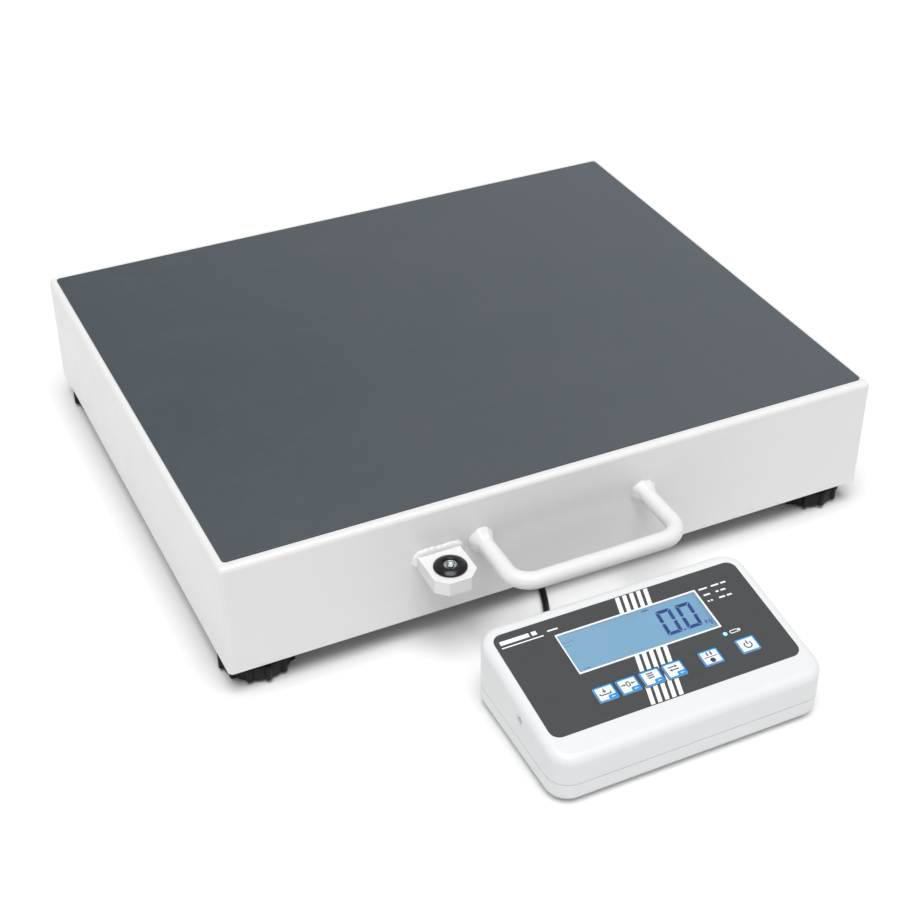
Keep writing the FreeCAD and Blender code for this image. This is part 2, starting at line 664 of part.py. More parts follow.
def make_junction_box():
    """Box under the middle channel that joins the load cell leads to the display cable."""
    middle = PLATFORM_MIDDLE
    wall = "dims.box_wall"
    low = f"({BOX_UNDER} + dims.lid_thick)"
    tub = centred_box("junction_tub", "0", middle, low, "dims.box_wide", "dims.box_deep",
                      "dims.box_high - dims.lid_thick")
    hollow = centred_box("junction_hollow", "0", middle, f"{low} - 1",
                         f"dims.box_wide - 2 * {wall}", f"dims.box_deep - 2 * {wall}",
                         f"dims.box_high - dims.lid_thick - {wall} + 1")
    gland_z = f"({BOX_UNDER} + dims.gland_up)"
    gland_x = "dims.gland_shift"
    bore = cylinder("junction_gland_hole", gland_x, f"{BOX_FRONT} - 1", gland_z,
                    "dims.gland_thread_radius", f"{wall} + 2", "Y")
    posts, screws, lid_holes, post_holes = [], [], [], []
    for side in (-1, 1):
        for end in (-1, 1):
            tag = f"{side + 1}{end + 1}"
            x = f"({side} * (dims.box_wide / 2 - dims.lid_screw_inset))"
            y = f"({middle} + {end} * (dims.box_deep / 2 - dims.lid_screw_inset))"
            posts.append(cylinder(f"junction_post_{tag}", x, y, low, f"2 * {wall}",
                                  f"dims.box_high - dims.lid_thick - {wall} / 2"))
            post_holes.append(cylinder(f"junction_post_hole_{tag}", x, y, f"{low} - 1",
                                       "dims.lid_screw_radius", "dims.lid_screw_long"))
            lid_holes.append(cylinder(f"junction_lid_hole_{tag}", x, y, f"{BOX_UNDER} - 1",
                                      "dims.lid_screw_radius + 0.2", "dims.lid_thick + 2"))
            head = cylinder(f"lid_screw_head_{tag}", x, y,
                            f"{BOX_UNDER} - dims.lid_screw_head_high",
                            "dims.lid_screw_head_radius", "dims.lid_screw_head_high")
            stem = cylinder(f"lid_screw_stem_{tag}", x, y, BOX_UNDER, "dims.lid_screw_radius",
                            "dims.lid_screw_long")
            screws.append(fuse(f"lid_screw_{tag}", head, stem))
    lead_holes = [cylinder(f"junction_lead_hole_{name}", x, y, z, "dims.lead_radius",
                           f"{wall} + 2", along)
                  for name, x, y, z, along in lead_entries()]
    walls = cut("junction_walls", tub, hollow)
    keep("junction_box", cut("junction_box", fuse("junction_posts", walls, *posts),
                             bore, *post_holes, *lead_holes))
    lid = centred_box("junction_lid_plate", "0", middle, BOX_UNDER, "dims.box_wide",
                      "dims.box_deep", "dims.lid_thick")
    keep("junction_box_lid", cut("junction_box_lid", lid, *lid_holes))
    keep("junction_box_screws", fuse("junction_box_screws", *screws))
    board = centred_box("junction_board_plate", "0", middle,
                        f"{BOX_UNDER} + dims.box_high - {wall} - 6 - dims.board_thick",
                        f"dims.box_wide - 2 * {wall} - 2 * dims.board_margin - 12",
                        f"dims.box_deep - 2 * {wall} - 2 * dims.board_margin",
                        "dims.board_thick")
    keep("junction_board", board)

    nut = cylinder("junction_gland_nut", gland_x, f"{BOX_FRONT} - dims.nut_long", gland_z,
                   "dims.nut_radius", "dims.nut_long", "Y")
    dome = cone("junction_gland_dome", gland_x, f"{BOX_FRONT} - dims.nut_long", gland_z,
                "dims.gland_radius", "dims.cable_radius + 2",
                "dims.gland_long - dims.nut_long", "-Y")
    thread = cylinder("junction_gland_thread", gland_x, BOX_FRONT, gland_z,
                      "dims.gland_thread_radius", f"{wall} + 4", "Y")
    keep("junction_gland", fuse("junction_gland", nut, dome, thread))


def lead_entries():
    """Where the four load cell leads go into the junction box: name, X, Y, Z, axis."""
    entries = []
    for corner, (side, end) in CORNERS.items():
        along = 1 if end == "back" else -1
        x = f"({side} * dims.box_wide / 2)"
        y = f"({PLATFORM_MIDDLE} + {along} * dims.box_deep / 5)"
        z = f"({BOX_UNDER} + dims.box_high / 2)"
        start = f"{x} + {side}"
        entries.append((corner, start, y, z, "-X" if side > 0 else "X"))
    return entries


def make_leads():
    """Each load cell's lead, clipped up under the deck on its way to the junction box."""
    deck = number(f"{DECK_UNDER} - dims.lead_radius - dims.clip_thick")
    cell_z = number(f"{CELL_UNDER} + dims.lead_up")
    leads, clips = [], []
    for corner, (side, end) in CORNERS.items():
        inward = 1 if end == "front" else -1
        cell_x = number(f"{FOOT_X} - dims.cell_wide / 2")
        cell_y = number(foot_place(side, end)[1]) + inward * number("dims.screw_near + 10")
        entry = next(e for e in lead_entries() if e[0] == corner)
        box_x, box_y, box_z = number("dims.box_wide / 2"), number(entry[2]), number(entry[3])
        across = (box_y - cell_y) / 5
        route = [Vector(side * px, py, pz) for px, py, pz in (
            (cell_x, cell_y, cell_z), (cell_x - 16, cell_y, cell_z),
            (cell_x - 28, cell_y + across * 0.4, cell_z + 14),
            (cell_x - 34, cell_y + across * 0.8, deck),
            (cell_x - 62, cell_y + across * 1.9, deck),
            (cell_x - 92, cell_y + across * 3.2, deck),
            (box_x + 31, cell_y + across * 4.3, deck),
            (box_x + 24, box_y - across * 0.3, deck - 20),
            (box_x + 13, box_y, box_z), (box_x, box_y, box_z))]
        leads.append(swept_tube(f"load_cell_lead_{corner}", route, "dims.lead_radius"))
        spot = (route[4] + route[5]) * 0.5
        facing = math.degrees(math.atan2(route[5].y - route[4].y, route[5].x - route[4].x))
        clips.append(make_clip(corner, spot, facing))
    keep("load_cell_leads", fuse("load_cell_leads", *leads))
    keep("lead_clips", fuse("lead_clips", *clips))


def make_clip(corner, spot, facing):
    """Adhesive saddle that holds a lead up against the underside of the deck."""
    radius, thick = number("dims.lead_radius"), number("dims.clip_thick")
    saddle = bind(doc.addObject("Part::Box", f"clip_{corner}_block"),
                  Length="dims.clip_wide", Width="4 * dims.lead_radius + 2 * dims.clip_thick",
                  Height="2 * dims.lead_radius + 2 * dims.clip_thick")
    turn = Rotation(Vector(0, 0, 1), facing)
    corner_offset = Vector(-number("dims.clip_wide") / 2, -2 * radius - thick, -radius - thick)
    saddle.Placement = Placement(spot + turn.multVec(corner_offset), turn)
    bore = bind(doc.addObject("Part::Cylinder", f"clip_{corner}_bore"),
                Radius="dims.lead_radius", Height="dims.clip_wide + 2")
    bore.Placement = Placement(spot - turn.multVec(Vector(number("dims.clip_wide") / 2 + 1, 0, 0)),
                               turn.multiply(TURNS["X"]))
    return cut(f"clip_{corner}", saddle, bore)


# ---------------------------------------------------------------- display unit

def panel_placement(across, along, depth):
    """Place on the sloping top: across it, up along it from the overlay's middle, inwards."""
    tilt = Rotation(Vector(1, 0, 0), number("dims.case_slope"))
    middle = Vector(number("dims.case_centre + dims.overlay_shift"),
                    number(f"{CASE_BACK} - {OVERLAY_RUN}"),
                    number(f"dims.case_low + dims.case_back_high"
                           f" - {OVERLAY_RUN} * tan({STEEP})"))
    return Placement(middle + tilt.multVec(Vector(across, along, -depth)), tilt)


def panel_box(name, across, along, depth, wide, deep, thick):
    """Box on the sloping top, given by its middle, the depth of its top and its sizes."""
    made = bind(doc.addObject("Part::Box", name), Length=wide, Width=deep, Height=thick)
    corner = (number(f"{across} - ({wide}) / 2"), number(f"{along} - ({deep}) / 2"),
              number(f"{depth} + ({thick})"))
    made.Placement = panel_placement(*corner)
    return made


def panel_cylinder(name, across, along, depth, radius, thick):
    made = bind(doc.addObject("Part::Cylinder", name), Radius=radius, Height=thick)
    made.Placement = panel_placement(number(across), number(along),
                                     number(f"{depth} + ({thick})"))
    return made


def case_form(name, inset, floor):
    """Wedge-shaped case block, with its corners and edges rounded, inset on every side."""
    body = new_body(name)
    put(body, "dims.case_centre", CASE_MIDDLE, "dims.case_low")
    half = f"(dims.case_deep / 2 - {inset})"
    slope = f"tan({STEEP})"
    sink = f"({inset} / cos({STEEP}))"
    back_top = f"(dims.case_back_high - {sink} - {inset} * {slope})"
    front_top = f"(dims.case_back_high - {sink} - (dims.case_deep - {inset}) * {slope})"
    sketch = new_sketch(body, "YZ_Plane")
    outline(sketch, [(f"-{half}", floor), (half, floor), (half, back_top),
                     (f"-{half}", front_top)])
    block = pad(body, sketch, f"dims.case_wide - 2 * {inset}", midplane=True)
    corners = body_fillet(body, block, f"dims.case_corner_radius - {inset}", upright)
    under = body_fillet(body, corners, f"dims.case_bottom_radius - {inset} * 0.8",
                        level_at(number(floor)))
    lowest_top = number(front_top) - 0.01
    body_fillet(body, under, f"dims.case_top_radius - {inset} * 0.8",
                lambda e: e.BoundBox.ZMin > lowest_top and not upright(e))
    return body


def boss_places():
    for side in (-1, 1):
        for end in (-1, 1):
            yield (f"{side + 1}{end + 1}",
                   f"(dims.case_centre + {side} * dims.case_screw_x)",
                   f"({CASE_MIDDLE} + {end} * dims.case_screw_y)")


def make_display_shells():
    outer = case_form("case_outer", "0", "0")
    inner = case_form("case_inner", "dims.case_wall", "dims.case_floor")
    walls = cut("case_walls", outer, inner)
    wide, deep = "(dims.case_wide + 10)", "(dims.case_deep + 10)"
    middle = "dims.case_centre"
    upper_space = centred_box("case_upper_space", middle, CASE_MIDDLE, SEAM, wide, deep, "60")
    lower_space = centred_box("case_lower_space", middle, CASE_MIDDLE, "dims.case_low - 1",
                              wide, deep, f"{SEAM} - dims.case_low + 1")

    # top shell: walls above the seam, screw bosses, recess and windows of the panel
    bosses, boss_bores, base_bosses, base_bores, screws = [], [], [], [], []
    for tag, x, y in boss_places():
        bosses.append(cylinder(f"top_boss_{tag}", x, y, SEAM, "dims.boss_radius", "50"))
        boss_bores.append(cylinder(f"top_boss_bore_{tag}", x, y, f"{SEAM} - 1",
                                   "dims.boss_bore", "16"))
        base_bosses.append(cylinder(f"base_boss_{tag}", x, y, "dims.case_low",
                                    "dims.boss_radius", f"{SEAM} - dims.case_low"))
        base_bores.append(cylinder(f"base_boss_bore_{tag}", x, y, "dims.case_low - 1",
                                   "dims.case_screw_radius + 0.2",
                                   f"{SEAM} - dims.case_low + 2"))
        base_bores.append(cylinder(f"base_boss_sink_{tag}", x, y, "dims.case_low - 1",
                                   "dims.case_screw_head + 0.3", "6"))
        head = cylinder(f"case_screw_head_{tag}", x, y, "dims.case_low + 3",
                        "dims.case_screw_head", "2")
        stem = cylinder(f"case_screw_stem_{tag}", x, y, "dims.case_low + 5",
                        "dims.case_screw_radius", "dims.case_screw_long + 8")
        screws.append(fuse(f"case_screw_{tag}", head, stem))
    keep("case_screws", fuse("case_screws", *screws))
    boss_group = common("top_bosses", fuse("top_boss_posts", *bosses), outer)
    top_walls = fuse("top_walls_and_bosses", common("top_walls", walls, upper_space), boss_group)
    recess = panel_box("panel_recess", "0", "0", "-5", "dims.overlay_wide",
                       "dims.overlay_deep", "5 + dims.overlay_thick - dims.overlay_proud")
    recess_rounded = rounded("panel_recess_rounded", recess, "dims.overlay_radius",
                             panel_upright(recess))
    lip = "dims.window_lip"
    openings = [panel_box("lcd_opening", "dims.lcd_u", "dims.lcd_v", "-1",
                          f"dims.lcd_wide - 2 * {lip}", f"dims.lcd_deep - 2 * {lip}", "6")]
    for name in KEYS:
        openings.append(panel_box(name + "_opening", f"dims.{name}_across", "dims.key_row",
                                  "-1", "dims.key_wide + 2 * dims.key_gap + 0.4",
                                  "dims.key_deep + 2 * dims.key_gap + 0.4", "6"))
    openings.append(panel_cylinder("led_opening", "dims.led_u", "dims.led_v", "-1",
                                   "dims.led_radius", "6"))
    socket_hole = cylinder("socket_hole", "dims.case_centre - dims.case_wide / 2 - 1",
                           "dims.socket_y", "dims.socket_z", "dims.socket_radius",
                           "dims.case_wall + 2", "X")
    keep("display_top_shell", cut("display_top_shell", top_walls, recess_rounded, socket_hole,
                                  *openings, *boss_bores))

    # bottom shell: walls below the seam, bosses, battery opening and the gland's hole
    door_x = "(dims.case_centre + dims.holder_centre)"
    door_y = f"({CASE_BACK} - dims.door_deep / 2)"
    ledge = "dims.door_ledge"
    door_space = centred_box("door_space", door_x, f"{door_y} + 2", "dims.case_low - 1",
                             "dims.door_wide + 2 * dims.door_gap",
                             "dims.door_deep + 2 * dims.door_gap + 4",
                             "dims.door_thick + 1 + 0.2")
    hatch = centred_box("battery_hatch", door_x, f"{door_y} - 1", "dims.case_low - 1",
                        f"dims.door_wide - 2 * {ledge}", f"dims.door_deep - 2 * {ledge} - 2",
                        "dims.case_floor + 2")
    seam_band = cut("seam_band", centred_box("seam_slab", middle, CASE_MIDDLE,
                                             f"{SEAM} - dims.seam_high", wide, deep,
                                             "dims.seam_high + 1"),
                    case_form("case_seam_form", "dims.seam_step", "dims.seam_step"))
    gland_hole = cylinder("gland_hole", "dims.cable_exit_x",
                          f"{CASE_BACK} - dims.case_wall - 1", "dims.cable_exit_z",
                          "dims.cable_gland_tip", "dims.case_wall + 2", "Y")
    lower_walls = fuse("lower_walls_and_bosses", common("lower_walls", walls, lower_space),
                       *base_bosses)
    keep("display_bottom_shell", cut("display_bottom_shell", lower_walls, *base_bores,
                                     door_space, hatch, seam_band, gland_hole))
    door_block = centred_box("door_block", door_x, door_y, "dims.case_low", "dims.door_wide",
                             "dims.door_deep", "dims.door_thick")
    keep("battery_cover", common("battery_cover", door_block, outer))


def panel_upright(thing):
    """Test for the edges of a panel block that run straight into the panel."""
    doc.recompute()
    normal = Rotation(Vector(1, 0, 0), number("dims.case_slope")).multVec(Vector(0, 0, 1))

    def wanted(edge):
        ends = [vertex.Point for vertex in edge.Vertexes]
        return len(ends) == 2 and (ends[1] - ends[0]).cross(normal).Length < 0.01
    return wanted


def make_panel():
    """Printed overlay, keys, silicone key domes, display window, module, LED and board."""
    top = "-dims.overlay_proud"
    thick = "dims.overlay_thick"
    sheet = panel_box("overlay_sheet", "0", "0", top, "dims.overlay_wide",
                      "dims.overlay_deep", thick)
    sheet_rounded = rounded("overlay_rounded", sheet, "dims.overlay_radius",
                            panel_upright(sheet))
    holes = [panel_box("overlay_lcd_hole", "dims.lcd_u", "dims.lcd_v", "-2", "dims.lcd_wide",
                       "dims.lcd_deep", "6")]
    for name in KEYS:
        holes.append(panel_box(name + "_hole", f"dims.{name}_across", "dims.key_row", "-2",
                               "dims.key_wide + 2 * dims.key_gap",
                               "dims.key_deep + 2 * dims.key_gap", "6"))
    holes.append(panel_cylinder("overlay_led_hole", "dims.led_u", "dims.led_v", "-2",
                                "dims.led_radius", "6"))
    keep("front_overlay", cut("front_overlay", sheet_rounded, *holes))

    for name in KEYS:
        across = f"dims.{name}_across"
        cap = panel_box(name + "_cap", across, "dims.key_row", f"{top} - dims.key_proud",
                        "dims.key_wide", "dims.key_deep",
                        "dims.key_flange_top + dims.overlay_proud + dims.key_proud + 0.3")
        flange = panel_box(name + "_flange", across, "dims.key_row", "dims.key_flange_top",
                           "dims.key_wide + 2 * dims.key_flange",
                           "dims.key_deep + 2 * dims.key_flange", "dims.key_flange_thick")
        keep(name, fuse(name, cap, flange))

    plungers = [panel_cylinder(f"{name}_plunger", f"dims.{name}_across", "dims.key_row",
                               "dims.dome_top", "dims.dome_radius",
                               "dims.board_depth - dims.dome_top - dims.dome_base / 2")
                for name in KEYS]
    first, last = "dims.key_tare_across", "dims.key_power_across"
    base = panel_box("dome_strip", f"({first} + {last}) / 2", "dims.key_row",
                     "dims.board_depth - dims.dome_base",
                     f"{last} - {first} + dims.key_wide + 2",
                     "dims.key_deep + dims.dome_margin", "dims.dome_base")
    keep("key_dome_sheet", fuse("key_dome_sheet", base, *plungers))

    keep("lcd_window", panel_box("lcd_window", "dims.lcd_u", "dims.lcd_v", top, "dims.lcd_wide",
                                 "dims.lcd_deep", thick))
    keep("lcd_module", panel_box("lcd_module", "dims.lcd_u", "dims.lcd_v",
                                 "dims.case_wall + 0.1",
                                 "dims.lcd_wide + dims.module_margin",
                                 "dims.lcd_deep + dims.module_margin", "dims.module_high"))
    board = panel_box("main_board_plate", "0", "0", "dims.board_depth", "dims.board_wide",
                      "dims.board_deep", "dims.board_thick")
    keep("main_board", board)
    stem = panel_cylinder("led_stem", "dims.led_u", "dims.led_v", "-dims.overlay_proud",
                          "dims.led_radius", "dims.case_wall + dims.overlay_proud")
    collar = panel_cylinder("led_collar", "dims.led_u", "dims.led_v", "dims.case_wall",
                            "dims.led_collar_radius", "dims.board_depth - dims.case_wall")
    keep("status_led", fuse("status_led", stem, collar))


def make_power_and_batteries():
    """Battery tray with its cells, and the power socket in the left side wall."""
    x = "(dims.case_centre + dims.holder_centre)"
    low = "(dims.case_low + dims.case_floor + 0.1)"
    y = f"({CASE_BACK} - dims.case_wall - 5 - dims.holder_deep / 2)"
    wall = "dims.holder_wall"
    tray = centred_box("holder_block", x, y, low, "dims.holder_wide", "dims.holder_deep",
                       "dims.holder_high")
    hollow = centred_box("holder_hollow", x, y, f"{low} - 1",
                         f"dims.holder_wide - 2 * {wall}", f"dims.holder_deep - 2 * {wall}",
                         f"dims.holder_high - {wall} + 1")
    keep("battery_holder", cut("battery_holder", tray, hollow))
    cells = []
    for spot in range(4):
        cell_x = f"({x} + ({spot} - 1.5) * dims.cell_battery_pitch)"
        start = f"({y} - dims.cell_battery_long / 2)"
        cells.append(cylinder(f"battery_{spot}", cell_x, start,
                              f"{low} + dims.holder_high - {wall} - dims.cell_battery_radius",
                              "dims.cell_battery_radius", "dims.cell_battery_long - 1", "Y"))
    keep("battery_cells", fuse("battery_cells", *cells))

    wall_x = "(dims.case_centre - dims.case_wide / 2)"
    sleeve = cylinder("socket_sleeve", wall_x + " + 0.3", "dims.socket_y", "dims.socket_z",
                      "dims.socket_radius", "dims.case_wall", "X")
    block = box("socket_block", f"{wall_x} + dims.case_wall",
                "dims.socket_y - dims.socket_high / 2", "dims.socket_z - dims.socket_high / 2",
                "dims.socket_deep", "dims.socket_high", "dims.socket_high")
    jack = cylinder("socket_jack", wall_x, "dims.socket_y", "dims.socket_z",
                    "dims.socket_radius - 1.2", "10", "X")
    contact = cylinder("socket_pin", f"{wall_x} + 2", "dims.socket_y", "dims.socket_z", "0.8",
                       "10", "X")
    jack_body = cut("socket_body", fuse("socket_outer", sleeve, block), jack)
    keep("power_socket", fuse("power_socket", jack_body, contact))


def make_case_feet():
    feet = []
    for side in (-1, 1):
        for end in (-1, 1):
            feet.append(cylinder(f"case_foot_{side + 1}{end + 1}",
                                 f"dims.case_centre + {side} * dims.case_foot_x",
                                 f"{CASE_MIDDLE} + {end} * dims.case_foot_y", "0",
                                 "dims.case_foot_radius", "dims.case_low"))
    keep("case_feet", fuse("case_feet", *feet))


def make_cable_gland():
    """Tapered strain relief where the cable leaves the back of the display unit."""
    x, z = "dims.cable_exit_x", "dims.cable_exit_z"
    flange = cylinder("relief_flange", x, CASE_BACK, z, "dims.cable_gland_radius",
                      "dims.cable_gland_flange", "Y")
    taper = cone("relief_taper", x, f"{CASE_BACK} + dims.cable_gland_flange", z,
                 "dims.cable_gland_radius - 1.2", "dims.cable_gland_tip",
                 "dims.cable_gland_long - dims.cable_gland_flange", "Y")
    neck = cylinder("relief_neck", x, f"{CASE_BACK} - dims.case_wall - 1", z,
                    "dims.cable_gland_tip", "dims.case_wall + 1", "Y")
    keep("display_strain_relief", fuse("display_strain_relief", flange, taper, neck))


# ---------------------------------------------------------------- link cable

# From the strain relief down to the floor and under the front skirt to the coil.
FRONT_ROUTE = [
    (-31, -162.5, 11), (-31, -153, 11), (-29, -142.5, 8.6), (-24.2, -132, 5.2),
    (-18.7, -119.5, 3), (-13.9, -105.5, 2.6), (-9.6, -90, 2.6), (-5.6, -71, 2.8),
    (-2, -52, 3.3),
]
# From the junction box gland down to the outermost turn in the coil's upper layer.
REAR_ROUTE = [
    (-2, 41.5, 64), (-2, 25, 64), (-1.8, 9.7, 57.8), (-1.4, -2.4, 46.5),
    (-1, -11.6, 32.8), (-1, -21.8, 19.8), (-1.4, -35.8, 11), (-2, -52, 8.3),
]


def make_link_cable():
    """The two stretches of the display cable that are not coiled."""
    front = swept_tube("link_cable_front", [Vector(*point) for point in FRONT_ROUTE],
                       "dims.cable_radius")
    rear = swept_tube("link_cable_rear", [Vector(*point) for point in REAR_ROUTE],
                      "dims.cable_radius")
    keep("link_cable", fuse("link_cable", front, rear))


def make_coil():
    """Outer shape of the put-away turns, and the strap that holds them together."""
    x, y, low = "dims.coil_x", "dims.coil_y", "dims.coil_low"
    ring = cylinder("coil_ring", x, y, low, "dims.coil_outer", "dims.coil_high")
    eye = cylinder("coil_eye", x, y, f"{low} - 1", "dims.coil_inner", "dims.coil_high + 2")
    keep("link_cable_coil", cut("link_cable_coil", ring, eye))
    middle = "((dims.coil_outer + dims.coil_inner) / 2)"
    span = "(dims.coil_outer - dims.coil_inner + 1.2)"
    strap = centred_box("tie_block", f"{x} - {middle}", y, "0",
                        f"{span} + 2 * dims.tie_thick", "dims.tie_wide",
                        "dims.coil_high + 2 * dims.tie_thick")
    gap = centred_box("tie_gap", f"{x} - {middle}", y, "dims.tie_thick", span,
                      "dims.tie_wide + 2", "dims.coil_high")
    keep("coil_tie", cut("coil_tie", strap, gap))


# ---------------------------------------------------------------- build and write

make_deck_shell()
make_deck_mat()
make_channel("deck_channel_left", f"(-1 * {FOOT_X})", [-1])
make_channel("deck_channel_middle", "0", [])
make_channel("deck_channel_right", FOOT_X, [1])
for corner_name, (corner_side, corner_end) in CORNERS.items():
    make_load_cell(corner_name, corner_side, corner_end)
make_spacers_and_screws()
for corner_name, (corner_side, corner_end) in CORNERS.items():
    make_foot(corner_name, corner_side, corner_end)
make_handle()
make_bracket_and_welds()
make_spirit_level()
make_junction_box()
make_leads()
make_display_shells()
make_panel()
make_power_and_batteries()
make_case_feet()
make_cable_gland()
make_link_cable()
make_coil()
doc.recompute()

failed = [thing.Label for thing in doc.Objects
          if "Invalid" in thing.State or "Error" in thing.State]
if failed:
    raise RuntimeError("these objects failed to build: " + ", ".join(failed))
for name, thing in parts.items():
    if thing.Shape.isNull() or not thing.Shape.isValid():
        raise RuntimeError(name + " has no valid shape")
os.makedirs("parts", exist_ok=True)
for name, thing in parts.items():
    thing.Shape.exportStep(f"parts/{name}.step")
    print(f"{name}: {len(thing.Shape.Solids)} solids, {thing.Shape.Volume / 1000:.2f} cm3")
print(len(parts), "sub-parts")
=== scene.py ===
"""Floor platform scale with a remote display unit: its looks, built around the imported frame."""
import json
import math

import bmesh
import bpy
from mathutils import Matrix, Vector, noise


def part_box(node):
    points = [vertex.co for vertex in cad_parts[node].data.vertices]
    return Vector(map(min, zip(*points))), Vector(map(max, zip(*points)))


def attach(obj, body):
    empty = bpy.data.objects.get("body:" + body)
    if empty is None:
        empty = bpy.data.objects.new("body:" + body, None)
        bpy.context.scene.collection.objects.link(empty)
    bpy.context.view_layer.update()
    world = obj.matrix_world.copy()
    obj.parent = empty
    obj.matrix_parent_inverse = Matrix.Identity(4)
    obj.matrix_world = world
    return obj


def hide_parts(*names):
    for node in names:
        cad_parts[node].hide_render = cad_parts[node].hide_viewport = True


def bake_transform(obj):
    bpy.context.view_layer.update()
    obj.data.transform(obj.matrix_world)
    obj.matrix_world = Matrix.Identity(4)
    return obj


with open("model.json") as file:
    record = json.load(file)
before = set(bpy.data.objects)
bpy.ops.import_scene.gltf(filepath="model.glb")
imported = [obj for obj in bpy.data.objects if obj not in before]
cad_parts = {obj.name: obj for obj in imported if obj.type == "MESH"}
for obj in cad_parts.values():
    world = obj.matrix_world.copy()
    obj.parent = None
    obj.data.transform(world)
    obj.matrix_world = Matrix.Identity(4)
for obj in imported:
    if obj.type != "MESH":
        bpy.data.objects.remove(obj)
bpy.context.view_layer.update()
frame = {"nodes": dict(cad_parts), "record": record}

MM = 0.001

# Shapes and places are in millimetres.
SKIRT_FRONT = -113.5
HANDLE_LEGS, HANDLE_LEVEL = (-66.5, 60), 70
LEVEL_BASE = (-99, -133.5, 72)
SLEEVE_BASE = (-31, -179.5, 11)
SOCKET_BASE = (-105, -246, 33)


def linked(name, data):
    made = bpy.data.objects.new(name, data)
    bpy.context.scene.collection.objects.link(made)
    return made


# ---------------------------------------------------------------- camera

CAMERA_PLACE = (-0.4812, -0.9418, 0.8001)
CAMERA_TURN, CAMERA_RISE = -25.6726, 35.6175
CAMERA_LENS, CAMERA_SENSOR = 68.36, 36


def make_camera():
    data = bpy.data.cameras.new("camera")
    data.lens = CAMERA_LENS
    data.sensor_width = CAMERA_SENSOR
    turn, rise = math.radians(CAMERA_TURN), math.radians(CAMERA_RISE)
    back = Vector((math.sin(turn) * math.cos(rise), -math.cos(turn) * math.cos(rise),
                   math.sin(rise)))
    right = Vector((0, 0, 1)).cross(back).normalized()
    over = back.cross(right)
    camera = linked("camera", data)
    pose = Matrix((right, over, back)).transposed().to_4x4()
    pose.translation = CAMERA_PLACE
    camera.matrix_world = pose
    bpy.context.scene.camera = camera


make_camera()


# ---------------------------------------------------------------- finishes

class Finish:
    """A Principled material that is built up from noise masks in the frame's own coordinates."""

    def __init__(self, name, color, roughness, **sockets):
        self.material = bpy.data.materials.new(name)
        self.material.use_nodes = True
        self.tree = self.material.node_tree
        self.shader = next(n for n in self.tree.nodes if n.type == "BSDF_PRINCIPLED")
        self.set("Base Color", (*color, 1))
        self.set("Roughness", roughness)
        for socket, value in sockets.items():
            self.set(socket.replace("_", " "), value)
        self.place = self.node("ShaderNodeTexCoord").outputs["Object"]
        self.color = (*color, 1)
        self.normal = None

    def set(self, socket, value):
        self.shader.inputs[socket].default_value = value

    def node(self, kind, **inputs):
        made = self.tree.nodes.new(kind)
        for socket, value in inputs.items():
            self.feed(made.inputs[socket.replace("_", " ")], value)
        return made

    def feed(self, socket, value):
        if isinstance(value, bpy.types.NodeSocket):
            self.tree.links.new(value, socket)
        else:
            socket.default_value = value

    def stretched(self, stretch):
        made = self.node("ShaderNodeMapping", Vector=self.place)
        made.inputs["Scale"].default_value = stretch
        return made.outputs[0]

    def noise(self, size, detail=3.0, stretch=None):
        """Cloudy mask, from 0 to 1, with blobs of this size in millimetres."""
        place = self.stretched(stretch) if stretch else self.place
        made = self.node("ShaderNodeTexNoise", Vector=place, Scale=1 / (size * MM),
                         Detail=detail, Roughness=0.55)
        return made.outputs[0]

    def cells(self, size):
        """Mask of rounded cells of this size in millimetres, dark at their middles."""
        return self.node("ShaderNodeTexVoronoi", Vector=self.place,
                         Scale=1 / (size * MM)).outputs["Distance"]

    def span(self, value, low, high, to_low=0.0, to_high=1.0):
        """Maps low..high to to_low..to_high, held at both ends."""
        made = self.node("ShaderNodeMapRange", Value=value)
        for socket, number in (("From Min", low), ("From Max", high), ("To Min", to_low),
                               ("To Max", to_high)):
            made.inputs[socket].default_value = number
        return made.outputs[0]

    def math(self, kind, one, other):
        made = self.node("ShaderNodeMath")
        made.operation = kind
        self.feed(made.inputs[0], one)
        self.feed(made.inputs[1], other)
        return made.outputs[0]

    def axis(self, letter):
        return self.node("ShaderNodeSeparateXYZ", Vector=self.place).outputs[letter]

    def near(self, middle, reach, soft):
        """Mask that is 1 within reach of a point and fades out over soft, in millimetres."""
        made = self.node("ShaderNodeVectorMath", Vector=self.place)
        made.operation = "DISTANCE"
        made.inputs[1].default_value = Vector(middle) * MM
        return self.span(made.outputs["Value"], reach * MM, (reach + soft) * MM, 1.0, 0.0)

    def tint(self, mask, color):
        """Moves the colour towards another one where the mask is 1."""
        made = self.node("ShaderNodeMix")
        made.data_type = "RGBA"
        self.feed(made.inputs[0], mask)
        self.feed(made.inputs[6], self.color)
        self.feed(made.inputs[7], (*color, 1))
        self.color = made.outputs[2]
        self.feed(self.shader.inputs["Base Color"], self.color)

    def gloss(self, mask, low, high):
        """Varies the roughness from low to high with the mask."""
        self.feed(self.shader.inputs["Roughness"], self.span(mask, 0.3, 0.7, low, high))

    def bump(self, height, depth):
        """Raises the surface by up to depth millimetres where the mask is 1."""
        made = self.node("ShaderNodeBump", Height=height)
        made.inputs["Distance"].default_value = depth * MM
        if self.normal:
            self.feed(made.inputs["Normal"], self.normal)
        self.normal = made.outputs[0]
        self.feed(self.shader.inputs["Normal"], self.normal)


def dusty(finish, size, color, amount):
    """Faint marks: clouds of this size, broken up by finer ones."""
    mask = finish.math("MULTIPLY", finish.noise(size, 5.0), finish.noise(size / 9, 3.0))
    finish.tint(finish.span(mask, 0.22, 0.5, 0.0, amount), color)


